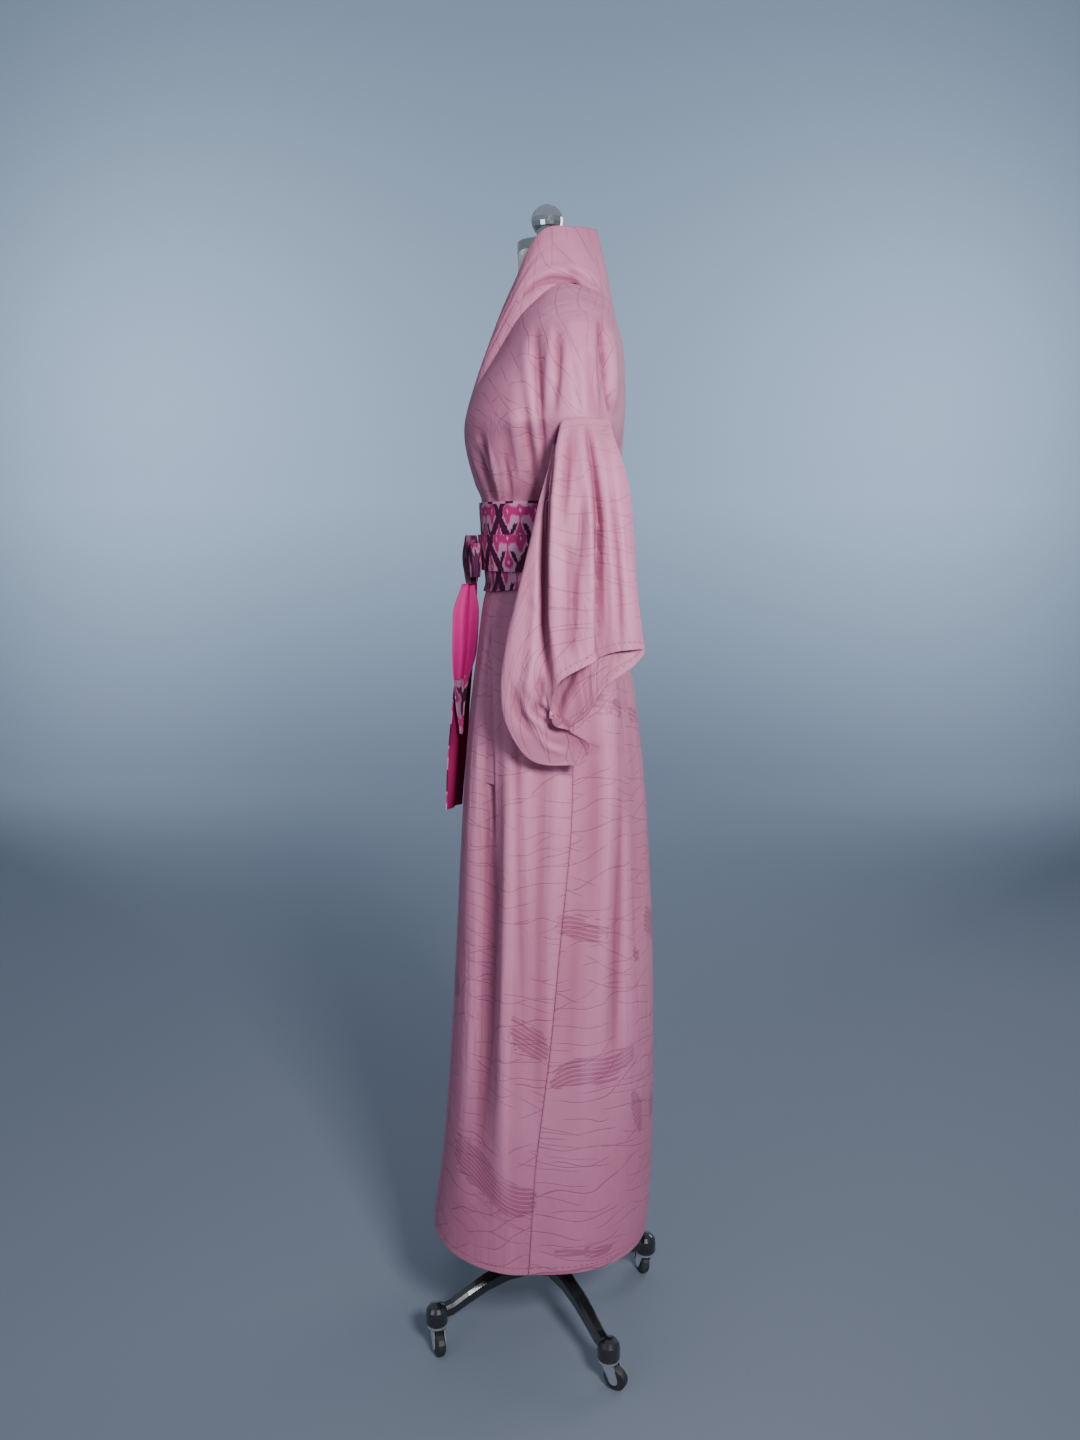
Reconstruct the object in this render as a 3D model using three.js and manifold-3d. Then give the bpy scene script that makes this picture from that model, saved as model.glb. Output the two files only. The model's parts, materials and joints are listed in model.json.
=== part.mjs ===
// A kimono robe, tied with a patterned sash, on a limbless dress form with a four-legged rolling stand.
// Millimetres, +Z up. The wearer's front faces -Y and the wearer's left is +X. The floor is z = 0 and the
// stand's column stands on the origin. Every cloth piece is a wall: an outer grid of points worked out from
// the sizes below, and the same points moved in along their normals by the cloth's thickness.
import * as THREE from "three";
import { mergeVertices } from "three/addons/utils/BufferGeometryUtils.js";
import Module from "manifold-3d";

const wasm = await Module();
wasm.setup();

// ---------------------------------------------------------------- driving sizes, mm
const CLOTH = 2; // silk crepe with its lining
const SASH = 3; // the sash is two cloths sewn back to back
const SEAM_GAP = 0.6; // between two pieces that are sewn together
const REST_GAP = 0.3; // between two pieces that rest on each other
const SASH_GAP = 1.2; // under each turn of the sash
const LAP = 7; // how far the left front stands proud of the right front that it covers
const DEGREE = Math.PI / 180;

const HEM_Z = 200;
const UNDERARM_Z = 1440;
const SHOULDER_END_Z = 1523; // where the sleeve is sewn to the dropped shoulder
const NECK_Z = 1733; // the neck point, where shoulder and collar meet
const BACK_NECK_Z = 1703;
const COLLAR_END_Z = 985; // the collar's lower ends
const OKUMI_TOP_Z = 1615; // the point where the overlap panel runs out under the collar

// The body's outer surface, level by level: half is the half width, front and back are where it ends in Y,
// mid is the Y of its widest point, square rounds the section (2 is an ellipse, more is boxier).
const BODY_SECTIONS = [
  { z: 200, half: 190, front: -188, back: 175, mid: 0, square: 2.25 },
  { z: 300, half: 188, front: -173, back: 181, mid: 0, square: 2.25 },
  { z: 450, half: 185, front: -159, back: 182, mid: 0, square: 2.2 },
  { z: 650, half: 180, front: -146, back: 178.5, mid: 0, square: 2.2 },
  { z: 900, half: 176, front: -132, back: 166, mid: 0, square: 2.15 },
  { z: 1050, half: 171, front: -121, back: 151, mid: 0, square: 2.1 },
  { z: 1180, half: 157, front: -105, back: 130, mid: 0, square: 2.1 },
  { z: 1262, half: 137, front: -94, back: 101, mid: 0, square: 2.1 },
  { z: 1290, half: 128, front: -87, back: 90, mid: 0, square: 2.1 },
  { z: 1345, half: 124, front: -93, back: 86, mid: 0, square: 2.1 },
  { z: 1414, half: 131, front: -96, back: 92, mid: 2, square: 2.1 },
  { z: 1440, half: 147, front: -106, back: 108, mid: 12, square: 2.0 },
  { z: 1470, half: 169, front: -118, back: 117, mid: 24, square: 2.0 },
  { z: 1500, half: 196, front: -125, back: 119, mid: 36, square: 1.95 },
  { z: 1527, half: 218, front: -126, back: 120, mid: 48, square: 1.9 },
  { z: 1560, half: 216, front: -118, back: 122, mid: 48, square: 1.9 },
  { z: 1610, half: 201, front: -94, back: 121, mid: 46, square: 1.95 },
  { z: 1650, half: 176, front: -72, back: 117, mid: 42, square: 2.0 },
  { z: 1685, half: 141, front: -52, back: 108, mid: 37, square: 2.0 },
  { z: 1710, half: 107, front: -30, back: 102, mid: 33, square: 2.0 },
  { z: 1733, half: 70, front: -14, back: 94, mid: 31, square: 2.0 },
];

// Seams and edges of the left front as distances from the centre front, and the side seam as a turn from the
// centre back, in degrees.
const FRONT_LINES = [
  { z: 200, okumi: 60, edge: -95, side: 97 },
  { z: 370, okumi: 61, edge: -94, side: 95 },
  { z: 530, okumi: 63, edge: -92, side: 90 },
  { z: 730, okumi: 65, edge: -88, side: 85 },
  { z: 985, okumi: 66, edge: -82, side: 77 },
  { z: 1281, okumi: 62, edge: -66, side: 74 },
  { z: 1417, okumi: 57, edge: -52, side: 77 },
  { z: 1440, okumi: 60, edge: -49, side: 80 },
  { z: 1470, okumi: 67, edge: -44, side: 82 },
  { z: 1525, okumi: 70, edge: -26, side: 85 },
  { z: 1564, okumi: 69, edge: -8, side: 85 },
  { z: 1615, okumi: 66, edge: 18, side: 85 },
];

// Where the collar is sewn to the left front, as a distance from the centre front.
const COLLAR_SEAM = [
  { z: 985, x: -76 },
  { z: 1130, x: -36 },
  { z: 1281, x: 2 },
  { z: 1417, x: 32 },
  { z: 1470, x: 48 },
  { z: 1525, x: 56 },
  { z: 1564, x: 58 },
  { z: 1621, x: 63 },
  { z: 1681, x: 69 },
  { z: 1733, x: 69.9 },
];

// The collar's free edge on the left, row by row from the chest to the centre back, with the height of the
// seam point each one belongs to. Below the first row the collar lies flat on the front, COLLAR_WIDTH wide.
const COLLAR_WIDTH = 112;
const COLLAR_EDGE = [
  { seam: 1470, x: -56, y: -124, z: 1496, roll: 2 },
  { seam: 1500, x: -41, y: -124, z: 1541, roll: 3 },
  { seam: 1530, x: -23, y: -109, z: 1581, roll: 3 },
  { seam: 1560, x: -4, y: -93, z: 1622, roll: 4 },
  { seam: 1590, x: 14, y: -81, z: 1660, roll: 5 },
  { seam: 1615, x: 28, y: -68, z: 1700, roll: 6 },
  { seam: 1650, x: 41, y: -46, z: 1748, roll: 7 },
  { seam: 1682, x: 52, y: -29, z: 1783, roll: 7 },
  { seam: 1709, x: 61, y: -13, z: 1804, roll: 8 },
  { seam: 1733, x: 66, y: 4, z: 1813, roll: 8 },
];
const COLLAR_BACK_EDGE = [
  { x: 66, y: 22, z: 1814, roll: 7 },
  { x: 58, y: 42, z: 1815, roll: 6 },
  { x: 43, y: 60, z: 1817, roll: 4 },
  { x: 23, y: 74, z: 1819, roll: 3 },
  { x: 0, y: 78, z: 1820, roll: 2 },
];

// Soft folds of the body, each a ridge (depth above 0) or a trough (below 0) that runs between two heights
// and swings from one turn to another. Turns and spread are in degrees from the centre back.
const BODY_FOLDS = [
  { name: "tuck_over_sash_front", bottom: 1412, top: 1500, from: 141, to: 150, spread: 6, depth: -7 },
  { name: "tuck_over_sash_side", bottom: 1412, top: 1520, from: 112, to: 124, spread: 7, depth: -9 },
  { name: "chest_drape", bottom: 1430, top: 1640, from: 101, to: 116, spread: 7, depth: -10 },
  { name: "shoulder_ridge", bottom: 1500, top: 1690, from: 92, to: 99, spread: 6, depth: 6 },
  { name: "shoulder_back", bottom: 1500, top: 1680, from: 62, to: 66, spread: 7, depth: -9 },
  { name: "back_tuck", bottom: 1412, top: 1530, from: 30, to: 22, spread: 7, depth: -5 },
  { name: "skirt_front_ridge", bottom: 700, top: 1290, from: 150, to: 143, spread: 8, depth: 6 },
  { name: "skirt_front_trough", bottom: 300, top: 1000, from: 132, to: 130, spread: 8, depth: -10 },
  { name: "skirt_side_ridge", bottom: 330, top: 1060, from: 114, to: 111, spread: 7, depth: 8 },
  { name: "skirt_side_trough", bottom: 420, top: 1280, from: 96, to: 100, spread: 9, depth: -5 },
  { name: "skirt_back_ridge", bottom: 500, top: 1285, from: 47, to: 44, spread: 9, depth: 6 },
  { name: "skirt_back_trough", bottom: 420, top: 1285, from: 66, to: 62, spread: 9, depth: -6 },
];

// ---------------------------------------------------------------- small helpers
const mix = (a, b, t) => a + (b - a) * t;
const clamp01 = (t) => Math.min(1, Math.max(0, t));
const ease = (t) => clamp01(t) ** 2 * (3 - 2 * clamp01(t));
const steps = (n) => Array.from({ length: n + 1 }, (_, i) => i / n);
const point = (x, y, z) => new THREE.Vector3(x, y, z);

// A column of a table at a height, by a smooth curve that never overshoots its rows.
function track(rows, column, z) {
  const last = rows.length - 1;
  if (z <= rows[0].z) return rows[0][column];
  if (z >= rows[last].z) return rows[last][column];
  const i = rows.findIndex((row) => row.z > z) - 1;
  const slope = (k) => (rows[k + 1][column] - rows[k][column]) / (rows[k + 1].z - rows[k].z);
  const tangent = (k) => {
    if (k === 0) return slope(0);
    if (k === last) return slope(last - 1);
    const before = slope(k - 1);
    const after = slope(k);
    return before * after <= 0 ? 0 : (2 * before * after) / (before + after);
  };
  const span = rows[i + 1].z - rows[i].z;
  const t = (z - rows[i].z) / span;
  const [t2, t3] = [t * t, t * t * t];
  return (
    (2 * t3 - 3 * t2 + 1) * rows[i][column] +
    (t3 - 2 * t2 + t) * span * tangent(i) +
    (3 * t2 - 2 * t3) * rows[i + 1][column] +
    (t3 - t2) * span * tangent(i + 1)
  );
}

// The unit normal of a grid at one of its points, from its neighbours along and across.
function gridNormal(grid, r, c, loop) {
  const cols = grid[0].length;
  const left = loop ? (c + cols - 1) % cols : Math.max(c - 1, 0);
  const right = loop ? (c + 1) % cols : Math.min(c + 1, cols - 1);
  const across = grid[r][right].clone().sub(grid[r][left]);
  const along = grid[Math.min(r + 1, grid.length - 1)][c].clone().sub(grid[Math.max(r - 1, 0)][c]);
  return across.cross(along).normalize();
}

// Cloth of one thickness between a grid of outer points and the same points moved in. The grid's normals,
// across its columns turned to along its rows, point outwards. A loop's last column meets its first.
function clothWall(grid, thickness, loop = false) {
  const [rows, cols] = [grid.length, grid[0].length];
  const inner = grid.map((row, r) =>
    row.map((p, c) => p.clone().addScaledVector(gridNormal(grid, r, c, loop), -thickness)),
  );
  const vertices = [...grid.flat(), ...inner.flat()];
  const outerAt = (r, c) => r * cols + (c % cols);
  const innerAt = (r, c) => rows * cols + outerAt(r, c);
  const index = [];
  const quad = (a, b, c, d) => index.push(a, b, c, a, c, d);
  const spans = loop ? cols : cols - 1;
  for (let r = 0; r < rows - 1; r++) {
    for (let c = 0; c < spans; c++) {
      quad(outerAt(r, c), outerAt(r, c + 1), outerAt(r + 1, c + 1), outerAt(r + 1, c));
      quad(innerAt(r, c), innerAt(r + 1, c), innerAt(r + 1, c + 1), innerAt(r, c + 1));
    }
  }
  for (let c = 0; c < spans; c++) {
    quad(outerAt(0, c), innerAt(0, c), innerAt(0, c + 1), outerAt(0, c + 1));
    quad(outerAt(rows - 1, c), outerAt(rows - 1, c + 1), innerAt(rows - 1, c + 1), innerAt(rows - 1, c));
  }
  for (let r = 0; r < rows - 1 && !loop; r++) {
    quad(outerAt(r, 0), outerAt(r + 1, 0), innerAt(r + 1, 0), innerAt(r, 0));
    quad(outerAt(r, cols - 1), innerAt(r, cols - 1), innerAt(r + 1, cols - 1), outerAt(r + 1, cols - 1));
  }
  return indexed(vertices, index);
}

// A solid between rings of points, closed by a fan over its first and last ring. Rings run anticlockwise
// seen from the last ring's side.
function loft(rings) {
  const n = rings[0].length;
  const vertices = rings.flat();
  const index = [];
  for (let r = 0; r < rings.length - 1; r++) {
    for (let i = 0; i < n; i++) {
      const [a, b] = [r * n + i, r * n + ((i + 1) % n)];
      index.push(a, b, b + n, a, b + n, a + n);
    }
  }
  const middle = (ring) => ring.reduce((sum, p) => sum.add(p), point(0, 0, 0)).divideScalar(n);
  const top = (rings.length - 1) * n;
  vertices.push(middle(rings[0]), middle(rings[rings.length - 1]));
  for (let i = 0; i < n; i++) {
    index.push((i + 1) % n, i, vertices.length - 2);
    index.push(top + i, top + ((i + 1) % n), vertices.length - 1);
  }
  return indexed(vertices, index);
}

function indexed(vertices, index) {
  const geometry = new THREE.BufferGeometry().setFromPoints(vertices);
  geometry.setIndex(index);
  return geometry;
}

// The same geometry mirrored from the wearer's left to the right, with its faces still pointing out.
function mirrored(geometry) {
  const copy = geometry.clone().applyMatrix4(new THREE.Matrix4().makeScale(-1, 1, 1));
  const turned = Array.from(copy.index.array);
  for (let i = 0; i < turned.length; i += 3) {
    [turned[i + 1], turned[i + 2]] = [turned[i + 2], turned[i + 1]];
  }
  copy.setIndex(turned);
  return copy;
}

// three.js geometry to a manifold-3d solid and back, for pieces that are joined or cut.
function toSolid(geometry) {
  const bare = geometry.clone();
  bare.deleteAttribute("normal");
  bare.deleteAttribute("uv");
  const merged = mergeVertices(bare, 1e-4);
  return new wasm.Manifold(
    new wasm.Mesh({
      numProp: 3,
      vertProperties: merged.attributes.position.array,
      triVerts: new Uint32Array(merged.index.array),
    }),
  );
}

function toGeometry(solid) {
  const mesh = solid.getMesh();
  const positions = new THREE.BufferAttribute(new Float32Array(mesh.vertProperties), 3);
  return new THREE.BufferGeometry()
    .setAttribute("position", positions)
    .setIndex(new THREE.BufferAttribute(new Uint32Array(mesh.triVerts), 1));
}

// ---------------------------------------------------------------- materials
const finish = (color, roughness, metalness = 0) =>
  new THREE.MeshStandardMaterial({ color, roughness, metalness });
const SILK = finish(0xb98093, 0.62);
const IKAT = finish(0x8a3a66, 0.7);
const MAGENTA = finish(0xc22f86, 0.68);
const LINEN = finish(0xe9e6dc, 0.85);
const CHROME = finish(0xc9cdd2, 0.12, 1);
const IRON = finish(0x17171b, 0.42, 0.3);
const RUBBER = finish(0x1b1b1d, 0.7);

const robe = new THREE.Group();
function add(name, geometry, material, parent = robe) {
  const mesh = new THREE.Mesh(geometry, material);
  mesh.name = name;
  parent.add(mesh);
  return mesh;
}

// ---------------------------------------------------------------- the body's surface
function foldDepth(z, turn) {
  const side = Math.abs(((((turn / DEGREE + 180) % 360) + 360) % 360) - 180);
  let sum = 0;
  for (const fold of BODY_FOLDS) {
    const t = (z - fold.bottom) / (fold.top - fold.bottom);
    if (t <= 0 || t >= 1) continue;
    const off = (side - mix(fold.from, fold.to, t)) / fold.spread;
    sum += fold.depth * Math.sin(Math.PI * t) * Math.exp(-off * off);
  }
  return sum;
}

// A point of the body at a height and a turn from the centre back, moved out by a lift.
function bodyPoint(z, turn, lift = 0) {
  const [half, front, back, mid, square] = ["half", "front", "back", "mid", "square"].map((c) =>
    track(BODY_SECTIONS, c, z),
  );
  const [s, c] = [Math.sin(turn), Math.cos(turn)];
  const depth = c > 0 ? back - mid : mid - front;
  const bow = 2 / square;
  const x = half * Math.sign(s) * Math.abs(s) ** bow;
  const y = depth * Math.sign(c) * Math.abs(c) ** bow;
  const nx = (Math.sign(x) * Math.abs(x / half) ** (square - 1)) / half;
  const ny = (Math.sign(y) * Math.abs(y / depth) ** (square - 1)) / depth;
  const out = (lift + foldDepth(z, turn)) / Math.hypot(nx, ny);
  return point(x + nx * out, mid + y + ny * out, z);
}

// The turn at which the body's front lies a given distance from the centre front.
function turnAtX(z, x) {
  const square = track(BODY_SECTIONS, "square", z);
  const share = Math.min(0.9999, Math.abs(x) / track(BODY_SECTIONS, "half", z));
  return Math.PI - Math.sign(x) * Math.asin(share ** (square / 2));
}

// The left front rises over the right front towards the centre, and settles again at the neck.
const lapLift = (z, turn) => LAP * ease((turn / DEGREE - 90) / 18) * (1 - ease((z - 1570) / 70));

// How far up the shoulder a height lies, measured along the side of the body, and the height again.
const SHOULDER_PROFILE = [];
for (const t of steps(120)) {
  const z = mix(UNDERARM_Z, NECK_Z, t);
  const here = { z, x: track(BODY_SECTIONS, "half", z), along: 0 };
  const before = SHOULDER_PROFILE.at(-1);
  if (before) here.along = before.along + Math.hypot(here.z - before.z, here.x - before.x);
  SHOULDER_PROFILE.push(here);
}
function lookUp(from, to, value) {
  const i = SHOULDER_PROFILE.findIndex((row) => row[from] >= value);
  if (i < 0) return SHOULDER_PROFILE.at(-1)[to];
  if (i === 0) return SHOULDER_PROFILE[0][to];
  const [a, b] = [SHOULDER_PROFILE[i - 1], SHOULDER_PROFILE[i]];
  return mix(a[to], b[to], (value - a[from]) / (b[from] - a[from]));
}
// A point part of the way along a line over the shoulder, from one (height, turn) to another.
function betweenOnShoulder(inner, outer, t) {
  const along = mix(lookUp("z", "along", inner.z), lookUp("z", "along", outer.z), t);
  return { z: lookUp("along", "z", along), turn: mix(inner.turn, outer.turn, t) };
}

// ---------------------------------------------------------------- body panels
// Each body panel is one length of cloth that runs from the front hem over the shoulder to the back hem.
// Its inner edge follows the okumi seam, the collar seam, the neck and the centre back.
const SKIRT_HEIGHTS = [200, 270, 370, 500, 640, 770, 880, 985, 1060, 1140, 1200, 1244];
const WAIST_HEIGHTS = [1275, 1311, 1360, 1388, 1412, 1424, 1440];
const LOWER_HEIGHTS = [...SKIRT_HEIGHTS, ...WAIST_HEIGHTS];
const CHEST_HEIGHTS = [1470, 1500, 1530, 1560, 1590, 1615, 1650, 1682, 1709, 1733];
const PANEL_COLUMNS = 8;
const NECK_FAN = 5;
const BACK_FAN = 3;
// The armhole's edge from the underarm up the front, along the shoulder end and down the back.
const ARMHOLE = [
  { z: 1440, turn: 81 },
  { z: 1462, turn: 95 },
  { z: 1492, turn: 99 },
  { z: 1517, turn: 100 },
  { z: SHOULDER_END_Z, turn: 92 },
  { z: SHOULDER_END_Z, turn: 77 },
  { z: SHOULDER_END_Z, turn: 62 },
  { z: 1515, turn: 52 },
  { z: 1488, turn: 55 },
  { z: 1462, turn: 66 },
  { z: 1440, turn: 79 },
];
const RIDGE_AT = 0.52; // how far round the armhole the shoulder's ridge meets it
function armhole(t) {
  const place = clamp01(t) * (ARMHOLE.length - 1);
  const i = Math.min(Math.floor(place), ARMHOLE.length - 2);
  const [a, b] = [ARMHOLE[i], ARMHOLE[i + 1]];
  return { z: mix(a.z, b.z, place - i), turn: mix(a.turn, b.turn, place - i) * DEGREE };
}

// Half a seam's gap as a turn, at a height and a turn on the body.
const halfGap = (z, turn) =>
  (SEAM_GAP / 2 / bodyPoint(z, turn + 0.001).distanceTo(bodyPoint(z, turn - 0.001))) * 0.002;
const okumiSeamTurn = (z) => turnAtX(z, track(FRONT_LINES, "okumi", z));
const collarSeamTurn = (z) => turnAtX(z, track(COLLAR_SEAM, "x", z));
// The left front's inner edge: the okumi seam up to the okumi's point, and the collar seam above it.
function frontInnerTurn(z) {
  const seam = z < OKUMI_TOP_Z ? okumiSeamTurn(z) : collarSeamTurn(z);
  return seam - halfGap(z, seam);
}

function bodyPanelRows(lap) {
  const lift = (z, turn) => (lap ? lapLift(z, turn) : 0);
  const columns = steps(PANEL_COLUMNS);
  const row = (inner, outer) =>
    columns.map((t) => {
      const at = betweenOnShoulder(inner, outer, t);
      return bodyPoint(at.z, at.turn, lift(at.z, at.turn));
    });
  const level = (z, innerTurn, outerTurn) =>
    columns.map((t) => {
      const turn = mix(innerTurn, outerTurn, t);
      return bodyPoint(z, turn, lift(z, turn));
    });
  const sideTurn = (z) => track(FRONT_LINES, "side", z) * DEGREE;
  const sideGap = (z) => halfGap(z, sideTurn(z));
  const backTurn = (z) => halfGap(z, 0.01);
  const front = LOWER_HEIGHTS.map((z) => level(z, frontInnerTurn(z), sideTurn(z) + sideGap(z)));
  const chest = CHEST_HEIGHTS.map((z) => {
    const t = (z - UNDERARM_Z) / (NECK_Z - UNDERARM_Z);
    return row({ z, turn: frontInnerTurn(z) }, armhole(mix(0.02, RIDGE_AT, t ** 1.1)));
  });
  const neck = steps(NECK_FAN).slice(1).map((t) => {
    const z = mix(NECK_Z, BACK_NECK_Z, t);
    return row({ z, turn: mix(Math.PI / 2, backTurn(z), t) }, armhole(mix(RIDGE_AT, 0.8, t)));
  });
  const upperBack = steps(BACK_FAN).slice(1).map((t) => {
    const z = mix(BACK_NECK_Z, UNDERARM_Z, t);
    return row({ z, turn: backTurn(z) }, armhole(mix(0.8, 0.98, t)));
  });
  const back = LOWER_HEIGHTS.slice(0, -1)
    .reverse()
    .map((z) => level(z, backTurn(z), sideTurn(z) - sideGap(z)));
  return [...front, ...chest, ...neck, ...upperBack, ...back];
}

add("left_body_panel", clothWall(bodyPanelRows(true), CLOTH), SILK);
add("right_body_panel", mirrored(clothWall(bodyPanelRows(false), CLOTH)), SILK);

// ---------------------------------------------------------------- okumi, the tapered overlap panels
// The okumi runs from the hem to its point under the collar. Below the collar's end its front edge is free,
// and above it the collar is sewn along it.
const OKUMI_COLUMNS = 4;
const OKUMI_HEIGHTS = [...LOWER_HEIGHTS, ...CHEST_HEIGHTS.filter((z) => z < OKUMI_TOP_Z)];
function okumiRows(lap) {
  const rows = OKUMI_HEIGHTS.map((z) => {
    const seam = okumiSeamTurn(z);
    const inner = seam + halfGap(z, seam);
    const collar = collarSeamTurn(z);
    const edge = z < COLLAR_END_Z ? turnAtX(z, track(FRONT_LINES, "edge", z)) : collar - halfGap(z, collar);
    return steps(OKUMI_COLUMNS).map((t) => {
      const turn = mix(edge, inner, t);
      return bodyPoint(z, turn, lap ? lapLift(z, turn) : 0);
    });
  });
  return rows;
}
add("left_okumi", clothWall(okumiRows(true), CLOTH), SILK);
add("right_okumi", mirrored(clothWall(okumiRows(false), CLOTH)), SILK);

// ---------------------------------------------------------------- collar
// One long band: up the left front, round the back of the neck and down the right front, which lies under
// the left. Its columns run from the free edge to the seam, bowed outwards by the row's roll.
const COLLAR_COLUMNS = 5;
const COLLAR_LEFT_STANDS = 4; // how far the left collar stands over the right one where they cross

// The turn reached by going a distance along the body's outside at one height.
function turnAfter(z, start, distance) {
  let [turn, walked] = [start, 0];
  let here = bodyPoint(z, turn);
  while (walked < distance) {
    turn += 0.01;
    const next = bodyPoint(z, turn);
    walked += here.distanceTo(next);
    here = next;
  }
  return turn;
}
function bowedRow(edge, seam, roll, away) {
  return steps(COLLAR_COLUMNS).map((t) =>
    edge
      .clone()
      .lerp(seam, t)
      .addScaledVector(away, roll * Math.sin(Math.PI * t)),
  );
}
function collarHalf(lap) {
  const flat = [...LOWER_HEIGHTS.filter((z) => z >= COLLAR_END_Z)].map((z) => {
    const seam = collarSeamTurn(z) + 1.8 * halfGap(z, collarSeamTurn(z));
    const edge = turnAfter(z, seam, COLLAR_WIDTH);
    return steps(COLLAR_COLUMNS).map((t) => {
      const turn = mix(edge, seam, t);
      return bodyPoint(z, turn, lap ? lapLift(z, turn) : 0);
    });
  });
  const shift = (z) => (lap ? -1 : 1) * COLLAR_LEFT_STANDS * (1 - ease((z - 1640) / 120));
  const front = COLLAR_EDGE.map((row) => {
    const turn = collarSeamTurn(row.seam);
    const onBody = bodyPoint(row.seam, turn, lap ? lapLift(row.seam, turn) : 0);
    const edge = point(row.x, row.y + shift(row.z), row.z);
    const toEdge = edge.clone().sub(onBody).normalize();
    const seam = onBody.addScaledVector(toEdge, 1.8 * SEAM_GAP);
    const away = point(0.6, -1, 0.1).normalize();
    const sideways = mix(0, 1, clamp01((row.seam - 1590) / 140));
    return bowedRow(edge, seam, row.roll, away.lerp(point(1, 0, -0.1), sideways).normalize());
  });
  const back = COLLAR_BACK_EDGE.map((row, i) => {
    const t = (i + 1) / COLLAR_BACK_EDGE.length;
    const z = mix(NECK_Z, BACK_NECK_Z, t);
    const onBody = bodyPoint(z, mix(Math.PI / 2, 0, t));
    const edge = point(row.x, row.y, row.z);
    const toEdge = edge.clone().sub(onBody).normalize();
    const away = point(onBody.x, onBody.y - 10, 0).normalize();
    return bowedRow(edge, onBody.addScaledVector(toEdge, SEAM_GAP), row.roll, away);
  });
  return [...flat, ...front, ...back];
}
const onTheRight = (row) => row.map((p) => point(-p.x, p.y, p.z));
const collarRows = [...collarHalf(true), ...collarHalf(false).slice(0, -1).reverse().map(onTheRight)];
add("collar", clothWall(collarRows, CLOTH), SILK);

// ---------------------------------------------------------------- sleeves
// A sleeve is a flat bag hanging by its shoulder seam, with its top fold down the back and its wrist edge
// at the bottom. Each row is a fold line round the bag, from the shoulder seam to the wrist edge.
const SLEEVE_FOLDS = [
  { name: "back_fold", top: [200, 84, 1518], upper: [230, 111, 1440], lower: [246, 126, 1280], end: [246, 137, 1201] },
  { name: "outer_back", top: [211, 66, 1521], upper: [246, 88, 1440], lower: [260, 106, 1280], end: [260, 108, 1203] },
  { name: "outer_valley", top: [217, 50, 1522], upper: [250, 64, 1440], lower: [255, 78, 1280], end: [252, 81, 1196] },
  { name: "outer_front", top: [219, 35, 1520], upper: [248, 34, 1440], lower: [267, 48, 1280], end: [268, 62, 1186] },
  { name: "front_fold", top: [216, 22, 1515], upper: [240, 5, 1440], lower: [258, 4, 1290], end: [262, 18, 1160] },
  { name: "wrist_end", top: [212, 14, 1500], upper: [227, 2, 1425], lower: [241, 0, 1290], end: [249, 6, 1132] },
  { name: "pouch_face", top: [209, 9, 1486], upper: [222, -10, 1405], lower: [235, -20, 1245], end: [244, 6, 1098] },
  { name: "pouch_edge", top: [205, 8, 1474], upper: [213, -20, 1375], lower: [230, -50, 1160], end: [240, 32, 1084] },
  { name: "pouch_corner", top: [203, 11, 1470], upper: [205, -16, 1370], lower: [217, -58, 1090], end: [228, 60, 1062] },
  { name: "inner_edge", top: [202, 20, 1466], upper: [203, 0, 1380], lower: [210, -26, 1042], end: [219, 46, 1030] },
  { name: "inner_front", top: [202, 34, 1464], upper: [204, 22, 1400], lower: [208, 4, 1130], end: [228, 30, 1082] },
  { name: "inner_middle", top: [201, 50, 1464], upper: [206, 54, 1400], lower: [220, 42, 1215], end: [247, 56, 1110] },
  { name: "inner_back", top: [198, 68, 1472], upper: [211, 88, 1415], lower: [228, 100, 1270], end: [250, 84, 1152] },
  { name: "back_inside", top: [193, 80, 1492], upper: [218, 106, 1432], lower: [237, 124, 1278], end: [245, 124, 1182] },
];
const SLEEVE_ROWS = 12;
const SLEEVE_COLUMNS = 2; // to each fold
function sleeveRows() {
  const lines = SLEEVE_FOLDS.map(
    (fold) =>
      new THREE.CatmullRomCurve3(
        [fold.top, fold.upper, fold.lower, fold.end].map((p) => point(...p)),
        false,
        "centripetal",
      ),
  );
  return steps(SLEEVE_ROWS).map((t) => {
    const ring = new THREE.CatmullRomCurve3(
      lines.map((line) => line.getPoint(t)),
      true,
      "centripetal",
    );
    return ring.getPoints(lines.length * SLEEVE_COLUMNS).slice(0, -1);
  });
}
const sleeve = clothWall(sleeveRows(), CLOTH, true);
add("left_sleeve", sleeve, SILK);
add("right_sleeve", mirrored(sleeve), SILK);

// ---------------------------------------------------------------- the sash
// Three turns of the reversible sash, each a band of the body's own surface moved out.
const SASH_BANDS = [
  { name: "sash_upper", heights: [1360, 1388, 1412], stands: 0 },
  { name: "sash_middle", heights: [1308, 1363], stands: SASH + SASH_GAP },
  { name: "sash_lower", heights: [1275, 1311], stands: 0 },
];
const SASH_COLUMNS = 44;
const SASH_RISE = 24; // how much higher the sash's lower edge runs at the back than at the front
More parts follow.
